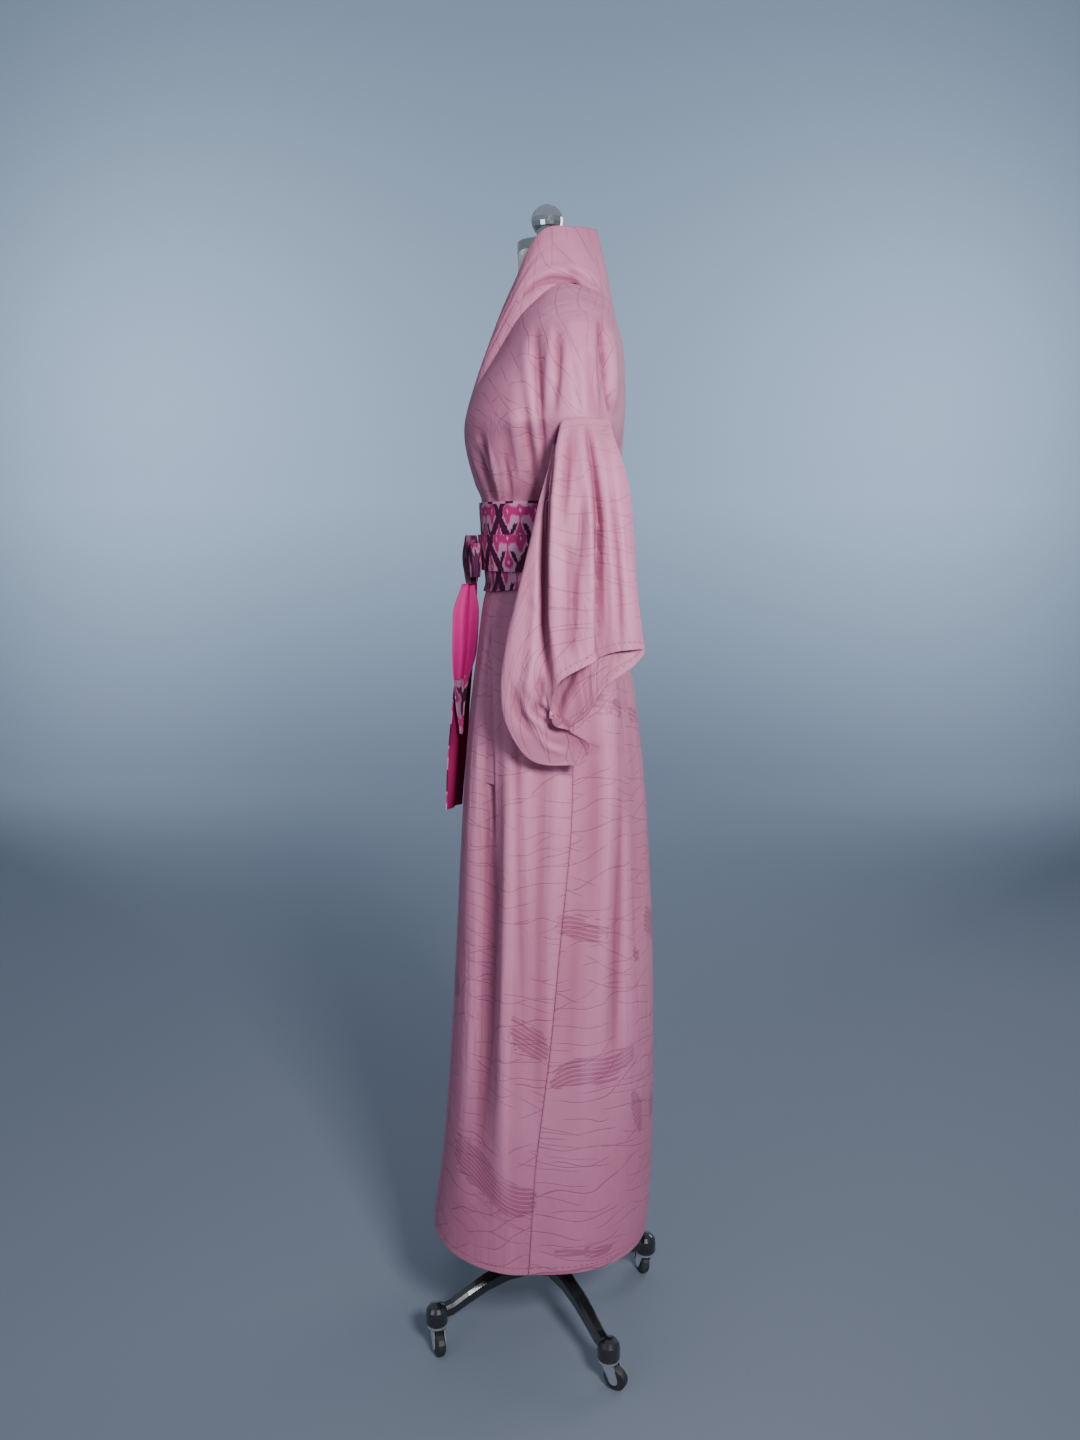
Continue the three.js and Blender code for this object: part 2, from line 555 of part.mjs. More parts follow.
// The left front, its okumi and its collar lie between the sash and the right front as far as this turn.
const underLap = (turn) => lapLift(0, turn) * (1 - ease((turn / DEGREE - 250) / 18));
for (const band of SASH_BANDS) {
  const onBand = (z, u) => {
    const turn = (1 - u) * 2 * Math.PI;
    return bodyPoint(z, turn, underLap(turn) + SASH + SASH_GAP + band.stands);
  };
  const rows = band.heights.map((z) =>
    steps(SASH_COLUMNS)
      .slice(0, -1)
      .map((u) => onBand(z, u)),
  );
  if (band.name === "sash_lower") {
    const height = band.heights[1] - band.heights[0];
    rows[0].forEach((p, i) => {
      const rise = (SASH_RISE * (1 + Math.cos((i / SASH_COLUMNS) * 2 * Math.PI))) / 2;
      p.lerp(rows[1][i], rise / height);
    });
  }
  add(band.name, clothWall(rows, SASH, true), IKAT);
}

// The knot is the sash wrapped once round itself, open above and below where the ends pass through.
const KNOT = { x: 14, y: -119.9, bottom: 1286, top: 1362, halfWidth: 26, halfDepth: 14 };
function wrapRows({ x, y, bottom, top, halfWidth, halfDepth }, columns, waist) {
  return steps(6).map((t) => {
    const swell = mix(waist, 1, Math.sin(Math.PI * t) ** 0.8);
    return steps(columns)
      .slice(0, -1)
      .map((u) => {
        const a = u * 2 * Math.PI;
        return point(x + halfWidth * swell * Math.cos(a), y + halfDepth * swell * Math.sin(a), mix(bottom, top, t));
      });
  });
}
add("sash_knot", clothWall(wrapRows(KNOT, 16, 0.72), SASH, true), IKAT);
const BOW = { x: 58.8, y: -111.2, bottom: 1298, top: 1350, halfWidth: 21, halfDepth: 11 };
add("sash_loop", clothWall(wrapRows(BOW, 16, 0.85), SASH, true), IKAT);

// The two hanging ends, each a gathered band: rows from the lower tip to the knot, with the middle, the half
// width and the way that the width runs, as a turn in degrees from +X.
const LONG_END = [
  { z: 919, x: 2, y: -154, half: 24, gather: 2, turn: -23 },
  { z: 980, x: 2, y: -149.5, half: 24, gather: 3, turn: -25 },
  { z: 1046, x: 2, y: -144.5, half: 24, gather: 3, turn: -25 },
  { z: 1100, x: 0, y: -139.5, half: 23, gather: 3, turn: -25 },
  { z: 1180, x: -4, y: -131, half: 21, gather: 3, turn: -22 },
  { z: 1240, x: -10, y: -122, half: 15, gather: 3, turn: -15 },
  { z: 1285.7, x: 4, y: -115, half: 9, gather: 1.5, turn: 0 },
];
const SHORT_END = [
  { z: 1046, x: 30, y: -138, half: 2.5, gather: 0, turn: -78 },
  { z: 1090, x: 31, y: -138.5, half: 7, gather: 1, turn: -76 },
  { z: 1135, x: 30, y: -136.7, half: 12, gather: 3, turn: -72 },
  { z: 1180, x: 29, y: -131.5, half: 19, gather: 4, turn: -70 },
  { z: 1240, x: 25, y: -128.5, half: 21, gather: 3, turn: -64 },
  { z: 1285.7, x: 21, y: -125, half: 10, gather: 2, turn: -50 },
];
function hangingEnd(rows) {
  const [low, high] = [rows[0].z, rows.at(-1).z];
  return steps(9).map((t) => {
    const z = mix(low, high, t);
    const at = (column) => track(rows, column, z);
    return steps(6).map((u) => {
      const across = mix(-1, 1, u) * at("half");
      const wave = Math.cos(3 * Math.PI * u) * at("gather");
      const [c, s] = [Math.cos(at("turn") * DEGREE), Math.sin(at("turn") * DEGREE)];
      return point(at("x") + across * c - wave * s, at("y") + across * s + wave * c, z);
    });
  });
}
add("sash_long_end", clothWall(hangingEnd(LONG_END), SASH), MAGENTA);
add("sash_short_end", clothWall(hangingEnd(SHORT_END), SASH), MAGENTA);

// ---------------------------------------------------------------- the dress form
const FORM_SECTIONS = [
  { z: 880, half: 148, front: -96, back: 112 },
  { z: 900, half: 158, front: -102, back: 119 },
  { z: 960, half: 164, front: -106, back: 124 },
  { z: 1050, half: 161, front: -104, back: 121 },
  { z: 1180, half: 138, front: -94, back: 102 },
  { z: 1280, half: 115, front: -78, back: 80 },
  { z: 1345, half: 110, front: -80, back: 76 },
  { z: 1420, half: 118, front: -86, back: 82 },
  { z: 1500, half: 136, front: -104, back: 96 },
  { z: 1540, half: 140, front: -106, back: 98 },
  { z: 1600, half: 142, front: -82, back: 97 },
  { z: 1640, half: 145.5, front: -62, back: 92 },
  { z: 1670, half: 122.5, front: -46, back: 80 },
  { z: 1695, half: 90.5, front: -39, back: 66 },
  { z: 1715, half: 60, front: -39, back: 54 },
  { z: 1735, half: 47, front: -44, back: 47 },
  { z: 1790, half: 45, front: -45, back: 45 },
];
const FORM_COLUMNS = 22;
const NECK_TOP = 1790;
const formRings = [...new Set([...FORM_SECTIONS.map((row) => row.z), 1110, 1230, 1460, 1570, 1683, 1725])]
  .sort((a, b) => a - b)
  .map((z) =>
    steps(FORM_COLUMNS)
      .slice(0, -1)
      .map((u) => {
        const a = u * 2 * Math.PI;
        const y = Math.sin(a) > 0 ? track(FORM_SECTIONS, "back", z) : -track(FORM_SECTIONS, "front", z);
        return point(track(FORM_SECTIONS, "half", z) * Math.cos(a), y * Math.sin(a), z);
      }),
  );
add("form_torso", loft(formRings), LINEN);

const CAP = { radius: 46.5, height: 15 };
const capRim = [
  [0, 0],
  [CAP.radius, 0],
  [CAP.radius, CAP.height - 2],
  [CAP.radius - 2, CAP.height],
  [CAP.radius - 6, CAP.height - 1.5],
  [0, CAP.height - 1.5],
];
const upright = (profile, segments) =>
  new THREE.LatheGeometry(
    profile.map(([r, z]) => new THREE.Vector2(r, z)),
    segments,
  ).rotateX(Math.PI / 2);
const capFloor = NECK_TOP + REST_GAP;
add("neck_cap", upright(capRim, 32).translate(0, 0, capFloor), CHROME);

const BALL = { radius: 25, stem: 11, stemHeight: 9 };
const ballFloor = capFloor + CAP.height - 1.5 + REST_GAP;
const ballProfile = [
  [0, 0],
  [BALL.stem, 0],
  [BALL.stem - 1.5, BALL.stemHeight - 2],
];
for (const t of steps(10)) {
  const a = mix(-68, 90, t) * DEGREE;
  ballProfile.push([BALL.radius * Math.cos(a), BALL.stemHeight + 22.5 + BALL.radius * Math.sin(a)]);
}
ballProfile.at(-1)[0] = 0;
add("ball_finial", upright(ballProfile, 22).translate(0, 0, ballFloor), CHROME);

// ---------------------------------------------------------------- the stand
const HUB = { radius: 26, bottom: 82, top: 121 };
const COLUMN_RADIUS = 12.5;
const FORM_BOTTOM = 880;
const columnHeight = FORM_BOTTOM - HUB.top - 2 * REST_GAP;
const column = new THREE.CylinderGeometry(COLUMN_RADIUS, COLUMN_RADIUS, columnHeight, 24)
  .rotateX(Math.PI / 2)
  .translate(0, 0, HUB.top + REST_GAP + columnHeight / 2);
add("stand_column", column, CHROME);

const CASTER_CIRCLE = 210;
const DOME = { radius: 19, bottom: 50, top: 87 };
const CASTERS = [
  { name: "near_front", leg: -61.6, trail: 20, pedal: true },
  { name: "near_back", leg: 28.4, trail: 60, pedal: false },
  { name: "far_back", leg: 118.4, trail: 200, pedal: false },
  { name: "far_front", leg: 208.4, trail: 300, pedal: true },
];
// One leg along +X: rounded bars between hub and dome, row by row.
const LEG_SECTIONS = [
  { r: 0, z: 101, half: 17, depth: 17 },
  { r: 80, z: 101, half: 13, depth: 14.5 },
  { r: 120, z: 93, half: 12, depth: 13.5 },
  { r: 155, z: 80, half: 11, depth: 13 },
  { r: 182, z: 69, half: 10.5, depth: 12 },
  { r: 208, z: 66, half: 10, depth: 11 },
];
const legRings = LEG_SECTIONS.map((row) =>
  steps(8)
    .slice(0, -1)
    .map((u) => {
      const a = (u + 1 / 16) * 2 * Math.PI;
      const round = (v) => Math.sign(v) * Math.abs(v) ** 0.6;
      return point(row.r, row.half * round(Math.cos(a)), row.z + row.depth * round(Math.sin(a)));
    }),
);
const domeProfile = [
  [0, 0],
  [DOME.radius - 2, 0],
  [DOME.radius, 3],
];
for (const t of steps(4)) {
  const a = t * 90 * DEGREE;
  domeProfile.push([DOME.radius * Math.cos(a), DOME.top - DOME.bottom - DOME.radius * (1 - Math.sin(a))]);
}
domeProfile.at(-1)[0] = 0;
const legSolid = toSolid(loft(legRings)).add(
  toSolid(upright(domeProfile, 18)).translate([CASTER_CIRCLE, 0, DOME.bottom]),
);
const hubProfile = [
  [0, HUB.bottom],
  [HUB.radius - 4, HUB.bottom],
  [HUB.radius, HUB.bottom + 4],
  [HUB.radius, HUB.top - 10],
  [COLUMN_RADIUS + 5, HUB.top],
  [0, HUB.top],
];
const baseSolid = CASTERS.reduce(
  (sum, caster) => sum.add(legSolid.rotate([0, 0, caster.leg])),
  toSolid(upright(hubProfile, 24)),
);
add("stand_base", toGeometry(baseSolid), IRON);

// ---------------------------------------------------------------- casters
const WHEEL = { radius: 20, half: 7.5, bore: 3.12 };
const TRAIL = 13; // from the swivel's axis to the wheel's axle
const CHEEK = { inside: 8.3, thick: 2, half: 8 };
const PLATE = { radius: 17, thick: 4 };
const plateTop = DOME.bottom - REST_GAP;
const box = (x0, x1, y0, y1, z0, z1) =>
  toSolid(new THREE.BoxGeometry(x1 - x0, y1 - y0, z1 - z0).translate((x0 + x1) / 2, (y0 + y1) / 2, (z0 + z1) / 2));
const rod = (radius, y0, y1, segments) =>
  toSolid(new THREE.CylinderGeometry(radius, radius, y1 - y0, segments).translate(0, (y0 + y1) / 2, 0));

// A cheek's outline from the plate to round the axle, drawn in the plane of the swivel axis and the trail.
const cheekShape = new THREE.Shape();
cheekShape.moveTo(-11, plateTop - PLATE.thick / 2);
cheekShape.lineTo(13, plateTop - PLATE.thick / 2);
cheekShape.lineTo(TRAIL + CHEEK.half, WHEEL.radius + 2);
cheekShape.absarc(TRAIL, WHEEL.radius, CHEEK.half, 10 * DEGREE, -170 * DEGREE, true);
cheekShape.closePath();
const cheekSolid = toSolid(
  new THREE.ExtrudeGeometry(cheekShape, { depth: CHEEK.thick, bevelEnabled: false, curveSegments: 6 }).rotateX(
    Math.PI / 2,
  ),
);
function forkSolid() {
  const plate = toSolid(
    new THREE.CylinderGeometry(PLATE.radius, PLATE.radius, PLATE.thick, 18)
      .rotateX(Math.PI / 2)
      .translate(0, 0, plateTop - PLATE.thick / 2),
  );
  const axle = rod(3, -CHEEK.inside - CHEEK.thick, CHEEK.inside + CHEEK.thick, 10).translate([
    TRAIL,
    0,
    WHEEL.radius,
  ]);
  return plate
    .add(cheekSolid.translate([0, CHEEK.inside + CHEEK.thick, 0]))
    .add(cheekSolid.translate([0, -CHEEK.inside, 0]))
    .add(axle);
}
const wheelProfile = [
  [WHEEL.bore, -WHEEL.half],
  [WHEEL.radius - 3, -WHEEL.half],
  [WHEEL.radius, -WHEEL.half + 3],
  [WHEEL.radius, WHEEL.half - 3],
  [WHEEL.radius - 3, WHEEL.half],
  [WHEEL.bore, WHEEL.half],
  [WHEEL.bore, -WHEEL.half],
];
const wheelGeometry = new THREE.LatheGeometry(
  wheelProfile.map(([r, y]) => new THREE.Vector2(r, y)),
  16,
).translate(TRAIL, 0, WHEEL.radius);
// A brake pedal: a lever on a pin between two ears of the plate, on the side away from the wheel.
const PEDAL = { pin: -PLATE.radius - 4, z: 42, reach: 20, half: 6, thick: 2.5, bore: 1.95, barrel: 3.2 };
const EAR = { inside: PEDAL.half + REST_GAP, thick: 2, pin: 1.7 };
function pedalSolid() {
  const { pin, half, reach, thick, z } = PEDAL;
  const barrel = rod(PEDAL.barrel, -half, half, 8);
  const blade = box(-reach, 0, -half, half, -thick / 2, thick / 2);
  return barrel.add(blade).subtract(rod(PEDAL.bore, -half - 1, half + 1, 8)).translate([pin, 0, z]);
}
function earSolid() {
  const { pin, z } = PEDAL;
  const outside = EAR.inside + EAR.thick;
  const ear = box(pin - 3, -PLATE.radius + 6, 0, EAR.thick, z - 3, plateTop);
  return rod(EAR.pin, -outside, outside, 8)
    .translate([pin, 0, z])
    .add(ear.translate([0, EAR.inside, 0]))
    .add(ear.translate([0, -outside, 0]));
}
for (const caster of CASTERS) {
  const group = new THREE.Group();
  const a = caster.leg * DEGREE;
  group.position.set(CASTER_CIRCLE * Math.cos(a), CASTER_CIRCLE * Math.sin(a), 0);
  group.rotation.z = caster.trail * DEGREE;
  const fork = caster.pedal ? forkSolid().add(earSolid()) : forkSolid();
  add(`fork_${caster.name}`, toGeometry(fork), CHROME, group);
  add(`wheel_${caster.name}`, wheelGeometry, RUBBER, group);
  if (caster.pedal) add(`pedal_${caster.name}`, toGeometry(pedalSolid()), CHROME, group);
  robe.add(group);
}

export default robe;
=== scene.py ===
# %% [markdown]
# # A kimono robe on a dress form
# The robe is wrapped left over right, tied with a reversible sash and worn by a limbless dress form that
# stands on a rolling base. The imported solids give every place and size. This lesson dresses them: each sheet
# of cloth is a grid that is bent into its place by the same sizes as its solid, and then gets a wall.

# %% Load the frame
import json
import math

import bpy
import numpy as np
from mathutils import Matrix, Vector

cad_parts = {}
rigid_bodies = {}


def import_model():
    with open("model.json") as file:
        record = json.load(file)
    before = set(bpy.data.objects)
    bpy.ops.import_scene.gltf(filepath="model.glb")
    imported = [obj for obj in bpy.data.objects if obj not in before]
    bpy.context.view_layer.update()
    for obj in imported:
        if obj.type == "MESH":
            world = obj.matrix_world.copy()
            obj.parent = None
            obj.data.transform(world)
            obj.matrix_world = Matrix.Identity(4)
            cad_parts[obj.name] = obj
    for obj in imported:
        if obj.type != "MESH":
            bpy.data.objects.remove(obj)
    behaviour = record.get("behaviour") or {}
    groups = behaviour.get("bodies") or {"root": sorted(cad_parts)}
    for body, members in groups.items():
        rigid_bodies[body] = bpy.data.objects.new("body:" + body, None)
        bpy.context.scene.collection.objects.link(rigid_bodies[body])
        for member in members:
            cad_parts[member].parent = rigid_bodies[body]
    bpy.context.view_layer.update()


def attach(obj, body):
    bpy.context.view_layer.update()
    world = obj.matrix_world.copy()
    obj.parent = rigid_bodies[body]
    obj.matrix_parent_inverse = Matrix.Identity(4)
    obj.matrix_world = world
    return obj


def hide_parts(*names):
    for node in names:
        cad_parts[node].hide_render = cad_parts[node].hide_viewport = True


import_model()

MM = 0.001
DEGREE = math.pi / 180

# %% [markdown]
# ## Camera, floor and light
# The robe is seen square from the wearer's left, from chest height and a little downwards. The camera comes first.

# %% Camera
TILT = 0.158
camera_data = bpy.data.cameras.new("side_camera")
camera_data.sensor_width = 36
camera_data.lens = 29.125
camera = bpy.data.objects.new("side_camera", camera_data)
bpy.context.scene.collection.objects.link(camera)
camera.location = (1.8815, -0.0108, 1.3633)
looking = Vector((-math.cos(TILT), 0, -math.sin(TILT)))
camera.rotation_mode = "QUATERNION"
camera.rotation_quaternion = looking.to_track_quat("-Z", "Y")
bpy.context.scene.camera = camera
print("camera at", tuple(round(v, 3) for v in camera.location))

# %% [markdown]
# The floor is one wide sheet of paper that curves up into a wall behind the robe, as in a small studio. Three
# soft lamps light the robe and two more wash the wall. With a pale sky they keep the shadows gentle, so that
# the folds are read from their shading.


# %% Floor and wall
def clear_selection():
    if bpy.context.object and bpy.context.object.mode != "OBJECT":
        bpy.ops.object.mode_set(mode="OBJECT")
    bpy.ops.object.select_all(action="DESELECT")


FLOOR_WIDTH = 9
CURVE_STEPS, CURVE_STEP, WALL_HEIGHT = 9, 0.35, 5
# The one sheet of paper is painted darker on the floor and lighter up the wall: painted shade low down, painted light
# higher up.
PAPER_SHADED_LOW, PAPER_LIT_HIGH = (0.19, 0.215, 0.265, 1), (0.38, 0.45, 0.55, 1)
PAPER_FADE_HEIGHT = 1.6

clear_selection()
bpy.ops.mesh.primitive_plane_add(size=FLOOR_WIDTH, location=(0, 0, 0))
floor = bpy.context.object
floor.name = "studio_floor"
bpy.ops.object.mode_set(mode="EDIT")
bpy.ops.mesh.select_all(action="DESELECT")
bpy.ops.object.mode_set(mode="OBJECT")
for edge in floor.data.edges:
    ends = [floor.data.vertices[i].co.x for i in edge.vertices]
    edge.select = max(ends) < -0.4 * FLOOR_WIDTH
bpy.ops.object.mode_set(mode="EDIT")
bpy.ops.mesh.select_mode(type="EDGE")
for k in range(CURVE_STEPS):
    rising = k * 90 / CURVE_STEPS * DEGREE
    step = (-CURVE_STEP * math.cos(rising), 0, CURVE_STEP * math.sin(rising))
    bpy.ops.mesh.extrude_region_move(TRANSFORM_OT_translate={"value": step})
bpy.ops.mesh.extrude_region_move(TRANSFORM_OT_translate={"value": (0, 0, WALL_HEIGHT)})
bpy.ops.object.mode_set(mode="OBJECT")
bpy.ops.object.shade_smooth()
paper = bpy.data.materials.new("studio_paper")
paper.use_nodes = True
nodes, links = paper.node_tree.nodes, paper.node_tree.links
nodes["Principled BSDF"].inputs["Roughness"].default_value = 0.85
height = nodes.new("ShaderNodeSeparateXYZ")
links.new(nodes.new("ShaderNodeTexCoord").outputs["Object"], height.inputs[0])
fade = nodes.new("ShaderNodeMapRange")
fade.inputs["From Max"].default_value = PAPER_FADE_HEIGHT
links.new(height.outputs["Z"], fade.inputs["Value"])
paper_tone = nodes.new("ShaderNodeMix")
paper_tone.data_type = "RGBA"
paper_tone.inputs[6].default_value = PAPER_SHADED_LOW
paper_tone.inputs[7].default_value = PAPER_LIT_HIGH
links.new(fade.outputs[0], paper_tone.inputs[0])
links.new(paper_tone.outputs[2], nodes["Principled BSDF"].inputs["Base Color"])
floor.data.materials.append(paper)
print("floor and wall:", len(floor.data.polygons), "faces")


# %% Lamps and sky
def soft_lamp(name, place, aim, size, power, color=(1, 1, 1), spread=180):
    data = bpy.data.lights.new(name, "AREA")
    data.shape = "SQUARE"
    data.size = size
    data.energy = power
    data.color = color
    data.spread = spread * DEGREE
    lamp = bpy.data.objects.new(name, data)
    bpy.context.scene.collection.objects.link(lamp)
    lamp.location = place
    lamp.rotation_mode = "QUATERNION"
    lamp.rotation_quaternion = (Vector(aim) - Vector(place)).to_track_quat("-Z", "Y")


soft_lamp("key_light", (1.9, 0.62, 1.8), (0.2, 0, 1.4), 0.4, 31, (0.95, 0.97, 1.0), 125)
soft_lamp("fill_light", (1.8, -1.3, 1.5), (0.1, 0, 1.3), 1.0, 7, (0.85, 0.93, 1.0))
soft_lamp("back_light", (-1.6, 1.9, 2.2), (0, 0.05, 1.1), 1.2, 14)
soft_lamp("wall_light_left", (-3.9, -3.3, 2.3), (-6.6, -0.6, 2.3), 1.5, 120, (0.74, 0.87, 1.0))
soft_lamp("wall_light_right", (-3.9, 3.3, 2.3), (-6.6, 0.6, 2.3), 1.5, 120, (0.74, 0.87, 1.0))
sky = bpy.data.worlds.new("studio_sky")
sky.use_nodes = True
sky_nodes, sky_links = sky.node_tree.nodes, sky.node_tree.links
up = sky_nodes.new("ShaderNodeSeparateXYZ")
sky_links.new(sky_nodes.new("ShaderNodeTexCoord").outputs["Generated"], up.inputs[0])
ceiling = sky_nodes.new("ShaderNodeMapRange")
ceiling.interpolation_type = "SMOOTHSTEP"
for label, value in (("From Min", 0.1), ("From Max", 0.6), ("To Min", 0.24), ("To Max", 0.42)):
    ceiling.inputs[label].default_value = value
sky_links.new(up.outputs["Z"], ceiling.inputs["Value"])
sky_nodes["Background"].inputs["Color"].default_value = (0.74, 0.85, 1.0, 1)
sky_links.new(ceiling.outputs[0], sky_nodes["Background"].inputs["Strength"])
bpy.context.scene.world = sky
print("five soft lamps and a pale sky")

# %% [markdown]
# ## The garment's sizes
# The robe is described level by level, like a stack of measured rings: how wide it is, how far it reaches to
# the front and back, and where its widest point lies. Seams are distances from the centre front. The same
# numbers shape the solids, so every sheet lands on its own solid.

# %% Sections, seams and folds
# Millimetres: the walls of robe and sash, how far the left front stands out over the right, and the room
# between sewn panels and under the sash.
CLOTH, SASH = 2.0, 3.0
LAP = 7.0
SEAM_GAP, SASH_GAP = 0.6, 1.2

BODY_SECTIONS = dict(
    z=[
        200, 300, 450, 650, 900, 1050, 1180, 1262, 1290, 1345, 1414,
        1440, 1470, 1500, 1527, 1560, 1610, 1650, 1685, 1710, 1733,
    ],
    half=[190, 188, 185, 180, 176, 171, 157, 137, 128, 124, 131, 147, 169, 196, 218, 216, 201, 176, 141, 107, 70],
    front=[
        -188, -173, -159, -146, -132, -121, -105, -94, -87, -93, -96,
        -106, -118, -125, -126, -118, -94, -72, -52, -30, -14,
    ],
    back=[175, 181, 182, 178.5, 166, 151, 130, 101, 90, 86, 92, 108, 117, 119, 120, 122, 121, 117, 108, 102, 94],
    mid=[0, 0, 0, 0, 0, 0, 0, 0, 0, 0, 2, 12, 24, 36, 48, 48, 46, 42, 37, 33, 31],
    square=[
        2.25, 2.25, 2.2, 2.2, 2.15, 2.1, 2.1, 2.1, 2.1, 2.1, 2.1,
        2.0, 2.0, 1.95, 1.9, 1.9, 1.95, 2.0, 2.0, 2.0, 2.0,
    ],
)
FRONT_LINES = dict(
    z=[200, 370, 530, 730, 985, 1281, 1417, 1440, 1470, 1525, 1564, 1615],
    okumi=[60, 61, 63, 65, 66, 62, 57, 60, 67, 70, 69, 66],
    edge=[-95, -94, -92, -88, -82, -66, -52, -49, -44, -26, -8, 18],
    side=[97, 95, 90, 85, 77, 74, 77, 80, 82, 85, 85, 85],
)
COLLAR_SEAM = dict(
    z=[985, 1130, 1281, 1417, 1470, 1525, 1564, 1621, 1681, 1733],
    x=[-76, -36, 2, 32, 48, 56, 58, 63, 69, 69.9],
)
# Name, bottom, top, turn at the bottom, turn at the top, spread, depth. A turn is in degrees from the centre
# back, the same on both sides, and a depth below 0 is a trough.
BODY_FOLDS = [
    ("tuck_over_sash_front", 1412, 1500, 141, 150, 6, -7),
    ("tuck_over_sash_side", 1412, 1520, 112, 124, 7, -9),
    ("chest_drape", 1430, 1640, 101, 116, 7, -10),
    ("shoulder_ridge", 1500, 1690, 92, 99, 6, 6),
    ("shoulder_back", 1500, 1680, 62, 66, 7, -9),
    ("back_tuck", 1412, 1530, 30, 22, 7, -5),
    ("skirt_front_ridge", 700, 1290, 150, 143, 8, 6),
    ("skirt_front_trough", 300, 1000, 132, 130, 8, -10),
    ("skirt_side_ridge", 330, 1060, 114, 111, 7, 8),
    ("skirt_side_trough", 420, 1280, 96, 100, 9, -5),
    ("skirt_back_ridge", 500, 1285, 47, 44, 9, 6),
    ("skirt_back_trough", 420, 1285, 66, 62, 9, -6),
]
print("body:", len(BODY_SECTIONS["z"]), "sections,", len(BODY_FOLDS), "folds")


# %% Reading the tables
def smooth_tangents(x, y):
    slope = np.diff(y) / np.diff(x)
    tangent = np.zeros(len(x))
    tangent[0], tangent[-1] = slope[0], slope[-1]
    for k in range(1, len(x) - 1):
        if slope[k - 1] * slope[k] > 0:
            tangent[k] = 2 * slope[k - 1] * slope[k] / (slope[k - 1] + slope[k])
    return tangent


def track(table, column, z):
    x, y = np.array(table["z"], float), np.array(table[column], float)
    tangent = smooth_tangents(x, y)
    z = np.clip(np.asarray(z, float), x[0], x[-1])
    i = np.clip(np.searchsorted(x, z, side="right") - 1, 0, len(x) - 2)
    span = x[i + 1] - x[i]
    t = (z - x[i]) / span
    return (
        (2 * t**3 - 3 * t**2 + 1) * y[i]
        + (t**3 - 2 * t**2 + t) * span * tangent[i]
        + (3 * t**2 - 2 * t**3) * y[i + 1]
        + (t**3 - t**2) * span * tangent[i + 1]
    )


def ease(t):
    t = np.clip(t, 0, 1)
    return t * t * (3 - 2 * t)


def mix(a, b, t):
    return a + (b - a) * t


print("half the waist's width:", round(float(track(BODY_SECTIONS, "half", 1345))), "mm")


# %% The body's surface
def fold_depth(z, turn):
    side = np.abs(np.mod(turn / DEGREE + 180, 360) - 180)
    total = np.zeros(np.broadcast(z, turn).shape)
    for _name, bottom, top, start, end, spread, depth in BODY_FOLDS:
        t = np.clip((z - bottom) / (top - bottom), 0, 1)
        off = (side - mix(start, end, t)) / spread
        total = total + depth * np.sin(np.pi * t) * np.exp(-off * off)
    return total


def body_points(z, turn, lift=0.0):
    z, turn = np.broadcast_arrays(np.asarray(z, float), np.asarray(turn, float))
    half, front, back, mid, square = (track(BODY_SECTIONS, c, z) for c in ("half", "front", "back", "mid", "square"))
    s, c = np.sin(turn), np.cos(turn)
    depth = np.where(c > 0, back - mid, mid - front)
    bow = 2 / square
    x = half * np.sign(s) * np.abs(s) ** bow
    y = depth * np.sign(c) * np.abs(c) ** bow
    nx = np.sign(x) * np.abs(x / half) ** (square - 1) / half
    ny = np.sign(y) * np.abs(y / depth) ** (square - 1) / depth
    out = (lift + fold_depth(z, turn)) / np.maximum(np.hypot(nx, ny), 1e-9)
    return np.stack([x + nx * out, mid + y + ny * out, z], axis=-1)


def turn_at_x(z, x):
    square = track(BODY_SECTIONS, "square", z)
    share = np.minimum(0.9999, np.abs(x) / track(BODY_SECTIONS, "half", z))
    return np.pi - np.sign(x) * np.arcsin(share ** (square / 2))


def lap_lift(z, turn):
    return LAP * ease((turn / DEGREE - 90) / 18) * (1 - ease((z - 1570) / 70))


print("shoulder end is", round(float(track(BODY_SECTIONS, "half", 1523)), 1), "mm from the middle")

# %% [markdown]
# ## From a flat grid to draped cloth
# A flat grid is the natural start for a sheet: its UVs are the cut's own coordinates, so weave and pattern
# follow the cloth. Its points are moved to the draped place, fine creases are pressed in along the normals,
# and a Solidify modifier gives the wall its thickness. A cloth simulation was left out, because the sheet has
# to stay on its solid to the millimetre.


# %% Creases from listed lines
# All depths in the tables are scaled by one number, and no crease is narrower than the grid can draw. The last
# two say how far a normal must point sideways for a crease to start and to be full.
CREASE_DEPTH, NARROWEST = 1.35, 4.5
FACES_FRONT, FACES_SIDE = 0.2, 0.45


def side_creases(points, normals, creases):
    """Push points in or out near each crease, drawn on the side of the robe as (y, z) in millimetres.

    A side drawing stretches where the cloth turns to the front or back, so the creases fade out there.
    """
    total = np.zeros(points.shape[:-1])
    for line, width, depth in creases:
        width = max(width, NARROWEST)
        line = np.array(line, float)
        lengths = np.hypot(*(line[1:] - line[:-1]).T)
        reach = np.concatenate([[0], np.cumsum(lengths)])
        best = np.full(points.shape[:-1], 1e9)
        place = np.zeros(points.shape[:-1])
        for k in range(len(line) - 1):
            a, b = line[k], line[k + 1]
            d = b - a
            rel = points[..., 1:3] - a
            t = np.clip((rel @ d) / (d @ d), 0, 1)
            away = np.hypot(rel[..., 0] - t * d[0], rel[..., 1] - t * d[1])
            closer = away < best
            best = np.where(closer, away, best)
            place = np.where(closer, (reach[k] + t * lengths[k]) / reach[-1], place)
        fade = np.sin(np.pi * np.clip(place * 0.96 + 0.02, 0, 1)) ** 0.7
        total += CREASE_DEPTH * depth * fade * np.exp(-((best / width) ** 2))
    return total * ease((np.abs(normals[..., 0]) - FACES_FRONT) / (FACES_SIDE - FACES_FRONT))


